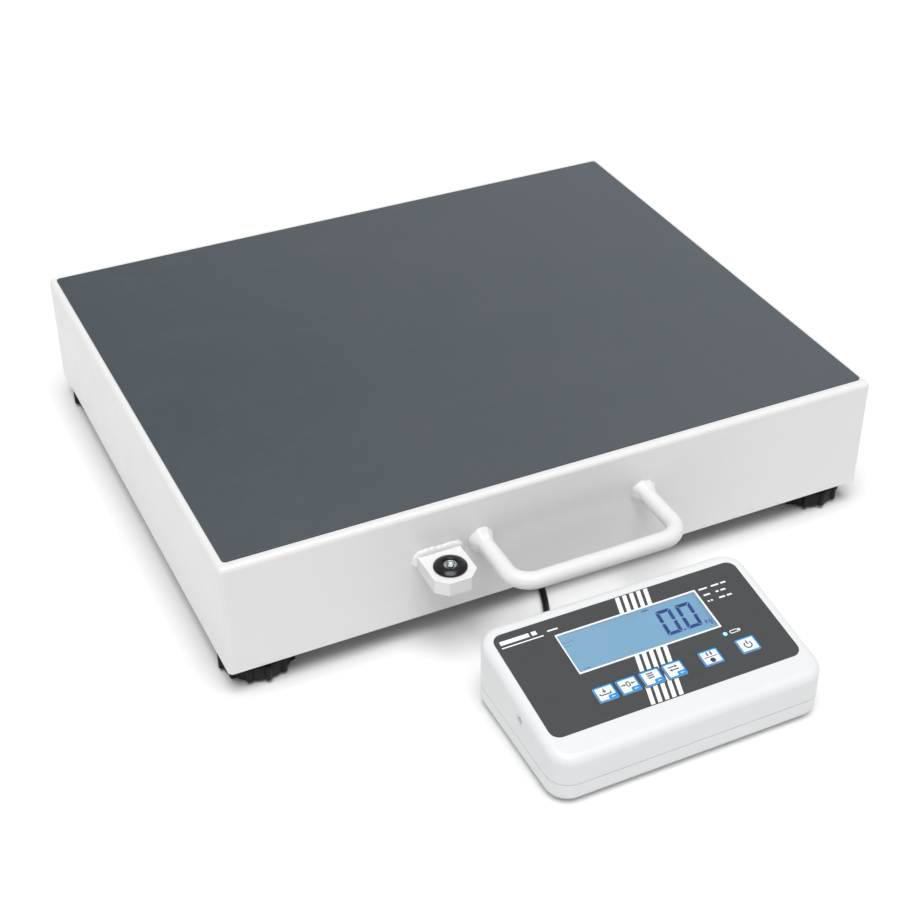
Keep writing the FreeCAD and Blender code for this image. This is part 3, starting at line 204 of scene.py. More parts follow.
def make_white_paint():
    """Powder coat: fine orange peel, scuffs along the skirt's lower edge, rougher near welds."""
    made = Finish("powder_coat_white", (0.755, 0.755, 0.75), 0.36, Coat_Weight=0.25,
                  Coat_Roughness=0.22)
    dusty(made, 70, (0.70, 0.70, 0.695), 0.2)
    low_edge = made.span(made.axis("Z"), 18.5 * MM, 24 * MM, 1.0, 0.0)
    scuffs = made.span(made.noise(7, 4.0, (1, 1, 3)), 0.56, 0.66)
    made.tint(made.math("MULTIPLY", made.math("MULTIPLY", low_edge, scuffs), 0.5),
              (0.55, 0.55, 0.54))
    made.gloss(made.noise(28, 3.0), 0.30, 0.42)
    made.bump(made.noise(1.6, 2.0), 0.035)
    ground = made.math("MAXIMUM", made.near((-104, SKIRT_FRONT, 84), 8, 22),
                       made.near((-66, SKIRT_FRONT, 82), 4, 18))
    ground = made.math("MAXIMUM", ground, made.near((60, SKIRT_FRONT, 82), 4, 18))
    made.bump(made.math("MULTIPLY", ground, made.noise(7, 2.0, (1, 1, 0.6))), 0.55)
    return made


def make_mat_rubber():
    """Fine-grained rubber with painted sheen: a little paler to the right and along its front."""
    made = Finish("mat_rubber", (0.047, 0.060, 0.071), 0.5, Specular_IOR_Level=0.36)
    # Painted sheen: paler towards the right and towards the front, where light glances off the
    # rubber.
    made.tint(made.span(made.axis("X"), -0.25, 0.25, 0.0, 0.8), (0.088, 0.104, 0.118))
    made.tint(made.span(made.axis("Y"), -0.11, 0.08, 0.35, 0.0), (0.078, 0.091, 0.102))
    made.tint(made.span(made.noise(160, 2.0), 0.35, 0.7, 0.0, 0.2), (0.078, 0.091, 0.104))
    dusty(made, 45, (0.11, 0.122, 0.132), 0.13)
    made.gloss(made.noise(60, 4.0), 0.47, 0.55)
    made.bump(made.noise(0.9, 2.0), 0.05)
    made.bump(made.cells(0.55), 0.03)
    return made


def make_primer():
    made = Finish("primer_grey", (0.42, 0.43, 0.44), 0.55)
    dusty(made, 25, (0.3, 0.3, 0.31), 0.4)
    made.gloss(made.noise(12), 0.48, 0.66)
    made.bump(made.noise(1.2, 3.0), 0.05)
    return made


def make_metal(name, color, roughness, stretch, size=6.0, depth=0.02):
    """Bare metal with streaks that are as long as stretch says."""
    made = Finish(name, color, roughness, Metallic=1.0)
    darker = [0.72 * c for c in color]
    made.tint(made.span(made.noise(size * 5, 4.0), 0.35, 0.7, 0.0, 0.4), darker)
    streaks = made.noise(size, 3.0, stretch)
    made.gloss(streaks, roughness - 0.08, roughness + 0.12)
    made.bump(streaks, depth)
    return made


def make_stud_steel():
    """Zinc-plated steel with the grooves of a thread of 1.5 mm pitch."""
    made = make_metal("stud_zinc", (0.62, 0.63, 0.66), 0.3, (1, 1, 1))
    waves = made.node("ShaderNodeTexWave", Vector=made.place)
    waves.bands_direction = "Z"
    waves.inputs["Scale"].default_value = math.tau / (1.5 * MM) / 20
    made.bump(waves.outputs[1], 0.45)
    return made


def make_plastic(name, color, roughness, grain=0.5, depth=0.03, worn=None, **sockets):
    made = Finish(name, color, roughness, **sockets)
    paler = worn or [min(1.0, 1.25 * c + 0.01) for c in color]
    dusty(made, 22, paler, 0.35)
    made.gloss(made.noise(9, 4.0), roughness - 0.06, roughness + 0.1)
    made.bump(made.noise(grain, 2.0), depth)
    return made


def make_case_white():
    made = Finish("case_white_plastic", (0.73, 0.745, 0.752), 0.36, Specular_IOR_Level=0.5)
    made.tint(made.span(made.noise(60, 3.0), 0.35, 0.7, 0.0, 0.3), (0.69, 0.702, 0.708))
    dusty(made, 18, (0.64, 0.645, 0.64), 0.12)
    made.gloss(made.noise(14, 3.0), 0.32, 0.42)
    made.bump(made.noise(0.45, 2.0), 0.018)
    return made


def make_film():
    made = Finish("overlay_film", (0.056, 0.058, 0.061), 0.44, Specular_IOR_Level=0.28)
    made.tint(made.span(made.noise(50, 2.0), 0.35, 0.7, 0.0, 0.4), (0.063, 0.065, 0.068))
    dusty(made, 15, (0.11, 0.112, 0.115), 0.1)
    made.gloss(made.noise(20, 3.0), 0.36, 0.5)
    made.bump(made.noise(0.3, 2.0), 0.012)
    return made


def make_print(name, color, roughness=0.42):
    made = Finish(name, color, roughness)
    made.tint(made.span(made.noise(4, 3.0), 0.4, 0.7, 0.0, 0.25), [0.93 * c for c in color])
    made.gloss(made.noise(6, 3.0), roughness - 0.05, roughness + 0.08)
    made.bump(made.noise(0.3, 2.0), 0.01)
    return made


def make_screen():
    """Backlit display: paler to the left, with painted recess shade as darker rims along its top
    and its sides.
    """
    made = Finish("lcd_backlight", (0.02, 0.035, 0.05), 0.5, Specular_IOR_Level=0.3)
    across = made.span(made.axis("X"), -58.5 * MM, 46.5 * MM)
    up = made.span(made.axis("Y"), -238.2 * MM, -204.2 * MM)
    # Painted shade of the window's recess: thin dark rims at the top and both sides, and a wider
    # darkening towards the top and the right.
    painted_recess_rims = made.math("MAXIMUM", made.span(across, 0.965, 1.0), made.span(up, 0.93, 1.0))
    painted_recess_rims = made.math("MAXIMUM", painted_recess_rims, made.span(across, 0.0, 0.012, 0.8, 0.0))
    painted_recess_halo = made.math("MAXIMUM", made.span(across, 0.88, 1.0), made.span(up, 0.72, 1.0))
    clouds = made.span(made.noise(30, 2.0), 0.3, 0.7, 0.0, 0.08)
    dark = made.math("ADD", made.math("MULTIPLY", across, 0.1), clouds)
    dark = made.math("ADD", dark, made.math("MULTIPLY", painted_recess_halo, 0.1))
    dark = made.math("ADD", dark, made.math("MULTIPLY", painted_recess_rims, 0.35))
    made.tint(dark, (0.012, 0.02, 0.035))
    glow = made.node("ShaderNodeMix")
    glow.data_type = "RGBA"
    made.feed(glow.inputs[0], dark)
    made.feed(glow.inputs[6], (0.22, 0.42, 0.59, 1))
    made.feed(glow.inputs[7], (0.075, 0.2, 0.385, 1))
    made.feed(made.shader.inputs["Emission Color"], glow.outputs[2])
    made.set("Emission Strength", 1.0)
    made.bump(made.noise(0.4, 2.0), 0.01)
    return made


def make_glow(name, color, strength):
    made = Finish(name, color, 0.25, Coat_Weight=0.5)
    made.set("Emission Color", (*color, 1))
    made.set("Emission Strength", strength)
    made.tint(made.span(made.noise(0.8), 0.4, 0.7, 0.0, 0.3), [0.8 * c for c in color])
    return made


def make_clear():
    made = Finish("clear_window", (0.97, 0.985, 1.0), 0.04, Transmission_Weight=1.0, IOR=1.2)
    made.gloss(made.noise(30, 3.0), 0.02, 0.06)
    made.bump(made.noise(8, 2.0), 0.003)
    return made


def make_board():
    made = Finish("circuit_board", (0.02, 0.17, 0.07), 0.35)
    tracks = made.node("ShaderNodeTexBrick", Vector=made.place, Scale=120.0)
    made.tint(made.math("MULTIPLY", tracks.outputs["Fac"], 0.8), (0.06, 0.3, 0.12))
    dusty(made, 10, (0.3, 0.26, 0.1), 0.3)
    made.gloss(made.noise(6), 0.3, 0.45)
    made.bump(tracks.outputs["Fac"], 0.03)
    return made


def make_strap():
    made = Finish("strap_fabric", (0.02, 0.02, 0.022), 0.85, Sheen_Weight=0.4)
    weave = made.math("MULTIPLY", made.cells(0.7), made.noise(0.5))
    made.tint(made.span(weave, 0.1, 0.4), (0.045, 0.045, 0.048))
    made.gloss(made.noise(3), 0.75, 0.95)
    made.bump(weave, 0.25)
    return made


def make_battery_skin():
    """Printed sleeve with a paler band round one end."""
    made = Finish("battery_sleeve", (0.05, 0.06, 0.075), 0.3)
    band = made.span(made.axis("Y"), -200 * MM, -199.6 * MM)
    made.tint(band, (0.75, 0.45, 0.12))
    dusty(made, 12, (0.2, 0.2, 0.2), 0.2)
    made.gloss(made.noise(8), 0.25, 0.4)
    made.bump(made.noise(2.5), 0.03)
    return made


FINISHES = {
    "white_paint": make_white_paint(),
    "grey_mat": make_mat_rubber(),
    "grey_primer": make_primer(),
    "cell_aluminium": make_metal("cell_aluminium", (0.72, 0.73, 0.75), 0.3, (1, 0.08, 1), 1.2),
    "zinc_steel": make_metal("zinc_steel", (0.6, 0.61, 0.64), 0.32, (1, 1, 1), 2.0),
    "black_plastic": make_plastic("black_plastic", (0.006, 0.006, 0.007), 0.46, 0.6, 0.05,
                                  (0.013, 0.013, 0.014), Specular_IOR_Level=0.2),
    "black_rubber": make_plastic("black_rubber", (0.014, 0.014, 0.014), 0.62, 0.8, 0.06),
    "level_black": make_plastic("level_black", (0.006, 0.006, 0.007), 0.24, 2.0, 0.004,
                                Specular_IOR_Level=0.35),
    "clear_acrylic": make_clear(),
    "level_bubble": make_print("bubble", (0.8, 0.86, 0.86), 0.15),
    "box_grey": make_plastic("box_grey", (0.4, 0.41, 0.42), 0.5),
    "board_green": make_board(),
    "lead_grey": make_plastic("lead_grey", (0.16, 0.165, 0.17), 0.5, 1.0),
    "clip_white": make_plastic("clip_white", (0.7, 0.7, 0.68), 0.45),
    "cable_black": make_plastic("cable_black", (0.007, 0.007, 0.008), 0.4, 0.9, 0.04),
    "tie_black": make_strap(),
    "case_white": make_case_white(),
    "overlay_grey": make_film(),
    "key_white": make_print("key_white", (0.82, 0.84, 0.86)),
    "silicone_grey": make_plastic("silicone_grey", (0.35, 0.36, 0.36), 0.6),
    "lcd_blue": make_screen(),
    "led_blue": make_glow("led_blue", (0.2, 0.6, 1.0), 1.25),
    "tray_black": make_plastic("tray_black", (0.02, 0.02, 0.021), 0.5),
    "battery_skin": make_battery_skin(),
}
STUD = make_stud_steel()
PRINT_WHITE = make_print("print_white", (0.86, 0.87, 0.88))
PRINT_BLUE = make_print("print_blue", (0.004, 0.28, 0.73))
PRINT_DARK = make_print("print_dark", (0.035, 0.04, 0.05))
SEGMENT = make_print("lcd_segment", (0.014, 0.055, 0.26), 0.5)
FAINT = make_print("lcd_faint", (0.1, 0.21, 0.41), 0.5)
SILVER = make_metal("lens_silver", (0.72, 0.76, 0.78), 0.22, (1, 1, 1), 1.5, 0.005)

for entry in frame["record"]["subparts"]:
    shown = frame["nodes"][entry["node"]]
    coat = FINISHES[entry["material_slot"]]
    if entry["node"].startswith("foot_stud"):
        coat = STUD
    for held in shown.material_slots:
        held.material = coat.material


# ---------------------------------------------------------------- mesh tools

def piece(name, bm, body, finish, replaced=(), sharp=38):
    """Turns a mesh that is built in millimetres into a piece that rides on a body."""
    bmesh.ops.remove_doubles(bm, verts=bm.verts, dist=0.0005)
    bmesh.ops.recalc_face_normals(bm, faces=bm.faces)
    bmesh.ops.scale(bm, vec=(MM, MM, MM), verts=bm.verts)
    mesh = bpy.data.meshes.new(name)
    bm.to_mesh(mesh)
    bm.free()
    for face in mesh.polygons:
        face.use_smooth = True
    mesh.set_sharp_from_angle(angle=math.radians(sharp))
    mesh.materials.append(finish.material)
    made = linked(name, mesh)
    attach(made, body)
    if replaced:
        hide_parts(*replaced)


def loft(bm, rings, looped=False):
    """Skins rings of points, each with the same number of points.

    The first and last ring are capped, or joined to each other when it is looped.
    """
    made = [[bm.verts.new(p) for p in ring] for ring in rings]
    pairs = list(zip(made, made[1:]))
    if looped:
        pairs.append((made[-1], made[0]))
    for low, high in pairs:
        for i in range(len(low)):
            j = (i + 1) % len(low)
            bm.faces.new((low[i], low[j], high[j], high[i]))
    if not looped:
        bm.faces.new(made[0])
        bm.faces.new(made[-1])
    return bm


def turned_rings(profile, base, along=(0, 0, 1), steps=64, wobble=None):
    """Rings of a lathe profile of (radius, height) about an axis through base."""
    turn = Vector((0, 0, 1)).rotation_difference(Vector(along)).to_matrix()
    rings = []
    for radius, height in profile:
        ring = []
        for i in range(steps):
            angle = math.tau * i / steps
            r = radius * (wobble(angle, height) if wobble else 1.0)
            ring.append(Vector(base) + turn @ Vector((r * math.cos(angle),
                                                      r * math.sin(angle), height)))
        rings.append(ring)
    return rings


def turned(name, profile, base, body, finish, replaced=(), along=(0, 0, 1), steps=64,
           sharp=38, looped=False):
    """A piece that is a lathe profile of (radius, height) about an axis through base."""
    rings = turned_rings(profile, base, along, steps)
    piece(name, loft(bmesh.new(), rings, looped=looped), body, finish, replaced, sharp)


def round_rect(wide, deep, radius, middle=(0, 0)):
    """Outline of a rectangle with rounded corners."""
    steps = 6
    points = []
    for quarter, (sx, sy) in enumerate(((1, 1), (-1, 1), (-1, -1), (1, -1))):
        for i in range(steps + 1):
            angle = math.pi / 2 * (quarter + i / steps)
            points.append((middle[0] + sx * (wide / 2 - radius) + radius * math.cos(angle),
                           middle[1] + sy * (deep / 2 - radius) + radius * math.sin(angle)))
    return points


SLOPE = math.radians(8.5)
PANEL_MIDDLE = Vector((-6.5, -234.064, 47.846))
PANEL_UP = Vector((0, math.cos(SLOPE), math.sin(SLOPE)))
PANEL_OUT = Vector((0, -math.sin(SLOPE), math.cos(SLOPE)))


def on_panel(u, v, out):
    """The point at (u, v) on the display's sloping panel, and out from it."""
    return PANEL_MIDDLE + Vector((u, 0, 0)) + v * PANEL_UP + out * PANEL_OUT


def plates(bm, outlines, low, high):
    """Thin flat plates on the sloping panel, one for each outline of (u, v) points."""
    for points in outlines:
        loft(bm, [[on_panel(u, v, out) for u, v in points] for out in (low, high)])
    return bm


def frame_plate(bm, outer, inner, low, high):
    """A flat ring on the sloping panel between two outlines."""
    rings = [[on_panel(u, v, out) for u, v in points]
             for points, out in ((outer, low), (outer, high), (inner, high), (inner, low))]
    return loft(bm, rings, looped=True)


def clipped(points, low_u, high_u, low_v, high_v):
    """The part of a convex outline that is inside a box."""
    for side, limit, keep_above in ((0, low_u, True), (0, high_u, False), (1, low_v, True),
                                    (1, high_v, False)):
        kept = []
        for i, here in enumerate(points):
            before = points[i - 1]
            inside = here[side] >= limit if keep_above else here[side] <= limit
            was = before[side] >= limit if keep_above else before[side] <= limit
            if inside != was:
                t = (limit - before[side]) / (here[side] - before[side])
                kept.append(tuple(b + t * (h - b) for b, h in zip(before, here)))
            if inside:
                kept.append(here)
        points = kept
        if not points:
            break
    return points


# ---------------------------------------------------------------- link cable

FRONT_ROUTE = [(-31, -162.5, 11), (-31, -153, 11), (-29, -142.5, 8.6), (-24.2, -132, 5.2),
               (-18.7, -119.5, 3), (-13.9, -105.5, 2.6), (-9.6, -90, 2.6), (-5.6, -71, 2.8),
               (-2, -52, 3.3)]
REAR_ROUTE = [(-2, 41.5, 64), (-2, 25, 64), (-1.8, 9.7, 57.8), (-1.4, -2.4, 46.5),
              (-1, -11.6, 32.8), (-1, -21.8, 19.8), (-1.4, -35.8, 11), (-2, -52, 8.3)]
COIL_MIDDLE = (-37.5, -52)
COIL_OUTER, COIL_PITCH = 35.6, 5.1
COIL_LOW, COIL_HIGH = 3.3, 8.3
COIL_TURNS, COIL_STEP = 7, 18
# Angles in degrees over which the coil first steps in by one ring, climbs to its upper layer,
# and first steps out by one ring. The steps are made three times, one turn apart.
COIL_IN, COIL_CLIMB, COIL_OUT = (235, 315), (1265, 1335), (1555, 1635)
CABLE_RADIUS = 2.5


def eased(value, low, high):
    """Goes smoothly from 0 at low to 1 at high."""
    t = min(1.0, max(0.0, (value - low) / (high - low)))
    return t * t * (3 - 2 * t)


def coil_points():
    """Seven turns in two layers: the lower one winds inwards and the upper one outwards."""
    points = []
    for angle in range(COIL_STEP, 360 * COIL_TURNS, COIL_STEP):
        inwards = sum(eased(angle - 360 * k, *COIL_IN) for k in range(3))
        outwards = sum(eased(angle - 360 * k, *COIL_OUT) for k in range(3))
        radius = COIL_OUTER - COIL_PITCH * (inwards - outwards)
        height = COIL_LOW + (COIL_HIGH - COIL_LOW) * eased(angle, *COIL_CLIMB)
        turn = math.radians(angle)
        points.append((COIL_MIDDLE[0] + radius * math.cos(turn),
                       COIL_MIDDLE[1] + radius * math.sin(turn), height))
    return points


def make_cable():
    """The link cable as a tube on a smooth spline, from the display to the junction box."""
    data = bpy.data.curves.new("link_cable_line", "CURVE")
    data.dimensions = "3D"
    spline = data.splines.new("NURBS")
    route = FRONT_ROUTE + coil_points() + REAR_ROUTE[::-1]
    spline.points.add(len(route) - 1)
    for point, place in zip(spline.points, route):
        point.co = (*(c * MM for c in place), 1)
    spline.order_u = 3
    spline.use_endpoint_u = True
    data.resolution_u = 5
    line = linked("link_cable_line", data)
    bpy.context.view_layer.update()
    centre = [v.co.copy() for v in bpy.data.meshes.new_from_object(line).vertices]
    data.bevel_depth = CABLE_RADIUS * MM
    data.bevel_resolution = 5
    data.use_fill_caps = True
    bpy.context.view_layer.update()
    mesh = bpy.data.meshes.new_from_object(line.evaluated_get(
        bpy.context.evaluated_depsgraph_get()))
    bpy.data.objects.remove(line)
    for face in mesh.polygons:
        face.use_smooth = True
    mesh.materials.clear()
    mesh.materials.append(FINISHES["cable_black"].material)
    cable = linked("link_cable_run", mesh)
    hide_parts("link_cable", "link_cable_coil")
    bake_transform(cable)


make_cable()


# ---------------------------------------------------------------- overlay, keys and display

FILM_TOP, FILM_EDGE = 0.2, 43.6
LAMP_U, LAMP_V = 52.6, -11.0
KEYS = {"key_tare": -44.0, "key_zero": -27.4, "key_function": -10.4, "key_mode": 6.3,
        "key_hold": 33.5, "key_power": 61.6}
TAB_KEYS = ("key_tare", "key_zero", "key_function", "key_mode")
KEY_ROW, KEY_WIDE, KEY_DEEP, KEY_TOP = -24.4, 14.0, 12.0, 0.5
LCD_U, LCD_V, LCD_WIDE, LCD_DEEP = 1.0, 12.8, 106.0, 35.0


def bar(u0, v0, u1, v1, thick):
    """Outline of a straight stroke between two points."""
    along = Vector((u1 - u0, v1 - v0)).normalized() * thick / 2
    side = Vector((-along.y, along.x))
    ends = (Vector((u0, v0)), Vector((u1, v1)))
    return [tuple(ends[0] - side), tuple(ends[1] - side), tuple(ends[1] + side),
            tuple(ends[0] + side)]


def disc(u, v, radius, steps=20):
    """Outline of a round dot."""
    return [(u + radius * math.cos(math.tau * i / steps),
             v + radius * math.sin(math.tau * i / steps)) for i in range(steps)]


def make_overlay_print():
    """White print on the film: slanted stripes and small generic marks."""
    bm = bmesh.new()
    low, high = FILM_TOP - 0.01, FILM_TOP + 0.03
    under, over = LCD_V - LCD_DEEP / 2, LCD_V + LCD_DEEP / 2
    row_low, row_high = KEY_ROW - KEY_DEEP / 2 - 0.7, KEY_ROW + KEY_DEEP / 2 + 0.7
    far, stripe_wide = 100, 3.1
    between_keys = [(-far, -51.8), (-36.2, -35.2), (-19.6, -18.2), (-2.6, -1.5), (14.1, 25.7)]
    boxes = [(-far, far, over, FILM_EDGE), (-far, far, row_high, under),
             (-far, far, -FILM_EDGE, row_low)]
    boxes += [(left, right, row_low, row_high) for left, right in between_keys]
    stripes = []
    for i in range(5):
        left_top, left_low = 0.4 + 5.35 * i, -22.0 + 5.15 * i
        whole = [(left_low, -FILM_EDGE), (left_low + stripe_wide, -FILM_EDGE),
                 (left_top + stripe_wide, FILM_EDGE), (left_top, FILM_EDGE)]
        stripes += [clipped(whole, *box) for box in boxes]
    plates(bm, [points for points in stripes if len(points) > 2], low, high)
    marks = []
    for v, dashes in ((28.9, ((56.4, 62.8), (66.0, 71.8), (73.4, 77.4))),
                      (23.4, ((57.0, 62.0), (66.4, 68.6), (70.2, 74.0))),
                      (17.9, ((57.0, 58.4), (59.4, 60.8), (65.8, 70.4), (71.8, 75.6)))):
        marks += [bar(u0, v, u1, v, 1.3) for u0, u1 in dashes]
    marks += [bar(-88.3, 32.9, -58.3, 32.9, 0.9), bar(-87.9, 36.9, -67.0, 36.9, 3.2),
              bar(-65.2, 36.9, -61.6, 36.9, 3.2), bar(-54.6, 35.1, -47.0, 35.1, 1.2)]
    marks += [bar(61.6, LAMP_V, 63.4, LAMP_V, 2.6), bar(63.4, LAMP_V, 64.1, LAMP_V, 1.2)]
    plates(bm, marks, low, high)
    frame_plate(bm, round_rect(6.6, 2.8, 1.0, middle=(59.5, LAMP_V)),
                round_rect(5.4, 1.6, 0.6, middle=(59.5, LAMP_V)), low, high)
    piece("overlay_print", bm, "display", PRINT_WHITE)


def key_symbols():
    """Plain pictograms, as strokes about the middle of each key."""
    ring = [(2.6 * math.cos(math.radians(a)), 2.6 * math.sin(math.radians(a)) - 0.2)
            for a in range(130, 411, 20)]
    arc = [bar(*a, *b, 0.9) for a, b in zip(ring, ring[1:])]
    oval = [(1.25 * math.cos(math.tau * i / 14), 0.9 + 1.9 * math.sin(math.tau * i / 14))
            for i in range(15)]
    nought = [bar(*a, *b, 0.8) for a, b in zip(oval, oval[1:])]
    return {
        "key_tare": [bar(-4.2, -0.9, 3.4, -0.9, 0.85), bar(-4.2, -0.9, -4.2, 0.6, 0.85),
                     bar(3.4, -0.9, 3.4, 0.6, 0.85), bar(-0.4, 3.9, -0.4, 1.0, 0.85),
                     [(-1.9, 1.9), (-0.4, 0.2), (1.1, 1.9)]],
        "key_zero": nought + [bar(-5.2, 0.9, -2.9, 0.9, 0.75), bar(2.9, 0.9, 5.2, 0.9, 0.75),
                              [(-3.1, 1.9), (-1.8, 0.9), (-3.1, -0.1)],
                              [(3.1, 1.9), (1.8, 0.9), (3.1, -0.1)]],
        "key_function": [bar(-2.7, 3.3 - 1.7 * i, 1.9, 3.3 - 1.7 * i, 0.9) for i in range(3)],
        "key_mode": [bar(-3.9, 2.4, 1.6, 2.4, 0.85), [(1.4, 3.6), (3.0, 2.4), (1.4, 1.2)],
                     bar(-2.2, 0.0, 3.2, 0.0, 0.85), [(-2.0, 1.2), (-3.6, 0.0), (-2.0, -1.2)]],
        "key_hold": [bar(-1.4, 1.5, -1.4, 4.4, 1.1), bar(1.4, 1.5, 1.4, 4.4, 1.1),
                     bar(-4.9, 0.3, 4.9, 0.3, 0.6), disc(0, -2.7, 1.9)],
        "key_power": [bar(0, 0.2, 0, 3.4, 1.0)] + arc,
    }


def make_keys():
    """Film keys: a domed pad, its blue outline, its pictogram and, on four, a marked tab."""
    symbols = key_symbols()
    for name, across in KEYS.items():
        middle = (across, KEY_ROW)
        bm = bmesh.new()
        levels = [(16.3, 14.3, 1.0, -3.5), (16.4, 14.4, 1.0, -3.4), (16.4, 14.4, 1.0, -2.75),
                  (KEY_WIDE, KEY_DEEP, 0.9, -2.7), (KEY_WIDE, KEY_DEEP, 0.9, 0.3),
                  (13.8, 11.8, 0.9, 0.42), (13.3, 11.3, 0.8, 0.47), (9.0, 7.4, 0.6, KEY_TOP)]
        rings = [[on_panel(u, v, out) for u, v in round_rect(w, d, r, middle=middle)]
                 for w, d, r, out in levels]
        piece(f"{name}_pad", loft(bm, rings), name, FINISHES["key_white"], (name,))

        bm = frame_plate(bmesh.new(), round_rect(13.9, 11.9, 0.9, middle=middle),
                         round_rect(11.8, 9.8, 0.4, middle=middle), 0.3, 0.49)
        if name in TAB_KEYS:
            tab = [(6.6, -5.6), (6.6, -2.0), (1.2, -2.0), (0.5, -2.5), (0.2, -3.1), (0.2, -5.6)]
            plates(bm, [[(across + u, KEY_ROW + v) for u, v in tab]], 0.4, 0.52)
        piece(f"{name}_outline", bm, name, PRINT_BLUE)

        strokes = [[(across + u, KEY_ROW + v) for u, v in points] for points in symbols[name]]
        piece(f"{name}_symbol", plates(bmesh.new(), strokes, 0.45, 0.53), name, PRINT_DARK)
        if name in TAB_KEYS:
            arrow = [bar(3.0, -3.9, 5.0, -3.9, 0.4), [(3.1, -3.2), (2.0, -3.9), (3.1, -4.6)]]
            glyph = [[(across + u, KEY_ROW + v) for u, v in points] for points in arrow]
            piece(f"{name}_tab_mark", plates(bmesh.new(), glyph, 0.5, 0.55), name, PRINT_WHITE)


GLASS_LOW, GLASS_HIGH, SCREEN_OUT = 0.0, 0.18, -0.45
SEEN_U, SEEN_V, SEEN_WIDE, SEEN_DEEP = 0.8, 12.8, 103.7, 32.4


def seven_segments(left, low, wide, high, thick, lean):
    """The six outer segments of a slanted digit nought, with mitred corners and small gaps."""
    half, gap = high / 2, 0.22
    shapes = []
    for edge, inwards in ((0, 1), (high, -1)):
        shapes.append([(gap + 0.3, edge), (wide - gap - 0.3, edge),
                       (wide - thick - gap, edge + inwards * thick),
                       (thick + gap, edge + inwards * thick)])
        for side, turn in ((0, 1), (wide, -1)):
            shapes.append([(side, edge + inwards * (gap + 0.3)),
                           (side, edge + inwards * (half - 0.75)),
                           (side + turn * thick / 2, edge + inwards * (half - 0.35)),
                           (side + turn * thick, edge + inwards * (half - 1.1)),
                           (side + turn * thick, edge + inwards * (thick + gap))])
    return [[(left + x + lean * y / high, low + y) for x, y in points] for points in shapes]


def make_screen_pieces():
    """Window pane with its printed border, the glowing screen under it and its dark digits."""
    pane = round_rect(LCD_WIDE - 0.1, LCD_DEEP - 0.1, 0.5, middle=(LCD_U, LCD_V))
    piece("lcd_pane", plates(bmesh.new(), [pane], GLASS_LOW, GLASS_HIGH), "display",
          FINISHES["clear_acrylic"], ("lcd_window",))
    piece("lcd_screen", plates(bmesh.new(), [pane], -2.5, SCREEN_OUT), "display",
          FINISHES["lcd_blue"])
    border = frame_plate(bmesh.new(), pane,
                         round_rect(SEEN_WIDE, SEEN_DEEP, 0.3, middle=(SEEN_U, SEEN_V)),
                         SCREEN_OUT, GLASS_HIGH + 0.02)
    piece("lcd_border", border, "display", PRINT_WHITE)
    low, high = SCREEN_OUT - 0.01, SCREEN_OUT + 0.04
    digits = []
    for left in (17.7, 32.7):
        digits += seven_segments(left, 2.0, 11.2, 21.3, 2.6, 1.3)
    digits.append(disc(30.6, 2.9, 0.8, 12))
    digits += [bar(46.4, 2.0, 46.8, 5.4, 0.55), bar(46.6, 3.3, 48.1, 4.5, 0.5),
               bar(47.0, 3.6, 48.1, 2.0, 0.5), bar(49.2, 2.2, 49.4, 4.3, 0.5),
               bar(49.3, 4.3, 51.0, 4.3, 0.5), bar(49.2, 2.1, 50.9, 2.1, 0.5),
               bar(50.7, 0.7, 51.1, 4.4, 0.5), bar(48.9, 0.7, 50.8, 0.7, 0.5)]
    piece("lcd_digits", plates(bmesh.new(), digits, low, high), "display", SEGMENT)
    faint = [bar(u0, v, u1, v, 0.6) for u0, u1, v in (
        (-49.6, -47.6, 22.2), (-47.0, -45.0, 22.3), (-44.4, -42.6, 22.4), (-49.4, -47.2, 19.1),
        (-46.6, -45.4, 19.1), (-47.4, -45.2, -1.4), (-44.6, -42.2, -1.4))]
    faint += [bar(11.2, 27.0, 15.8, 27.0, 1.3)]
    piece("lcd_annunciators", plates(bmesh.new(), faint, low, high), "display", FAINT)


def make_led():
    """Domed lens of the status lamp."""
    base = on_panel(LAMP_U, LAMP_V, 0)
    profile = [(2.4, -11.5), (2.4, -2.6), (1.48, -2.5), (1.48, 0.2), (1.3, 0.4), (0.9, 0.55),
               (0.4, 0.62), (0.05, 0.64)]
    turned("led_lens", profile, base, "display", FINISHES["led_blue"],
           ("status_led",), along=PANEL_OUT, steps=32)


make_overlay_print()
make_keys()
make_screen_pieces()
make_led()


# ---------------------------------------------------------------- levelling knobs and level

RIB_COUNT, RIB_OUT, RIB_HALF = 12, 2.35, 2.3
RIM_RADIUS = 25


def rib_height(angle):
    """How far the rim of a hand knob stands out here, with rounded ribs round it."""
    step = math.tau / RIB_COUNT
    away = abs((angle + step / 2) % step - step / 2) * RIM_RADIUS
    return RIB_OUT * math.sqrt(1 - (away / RIB_HALF) ** 2) if away < RIB_HALF else 0.0


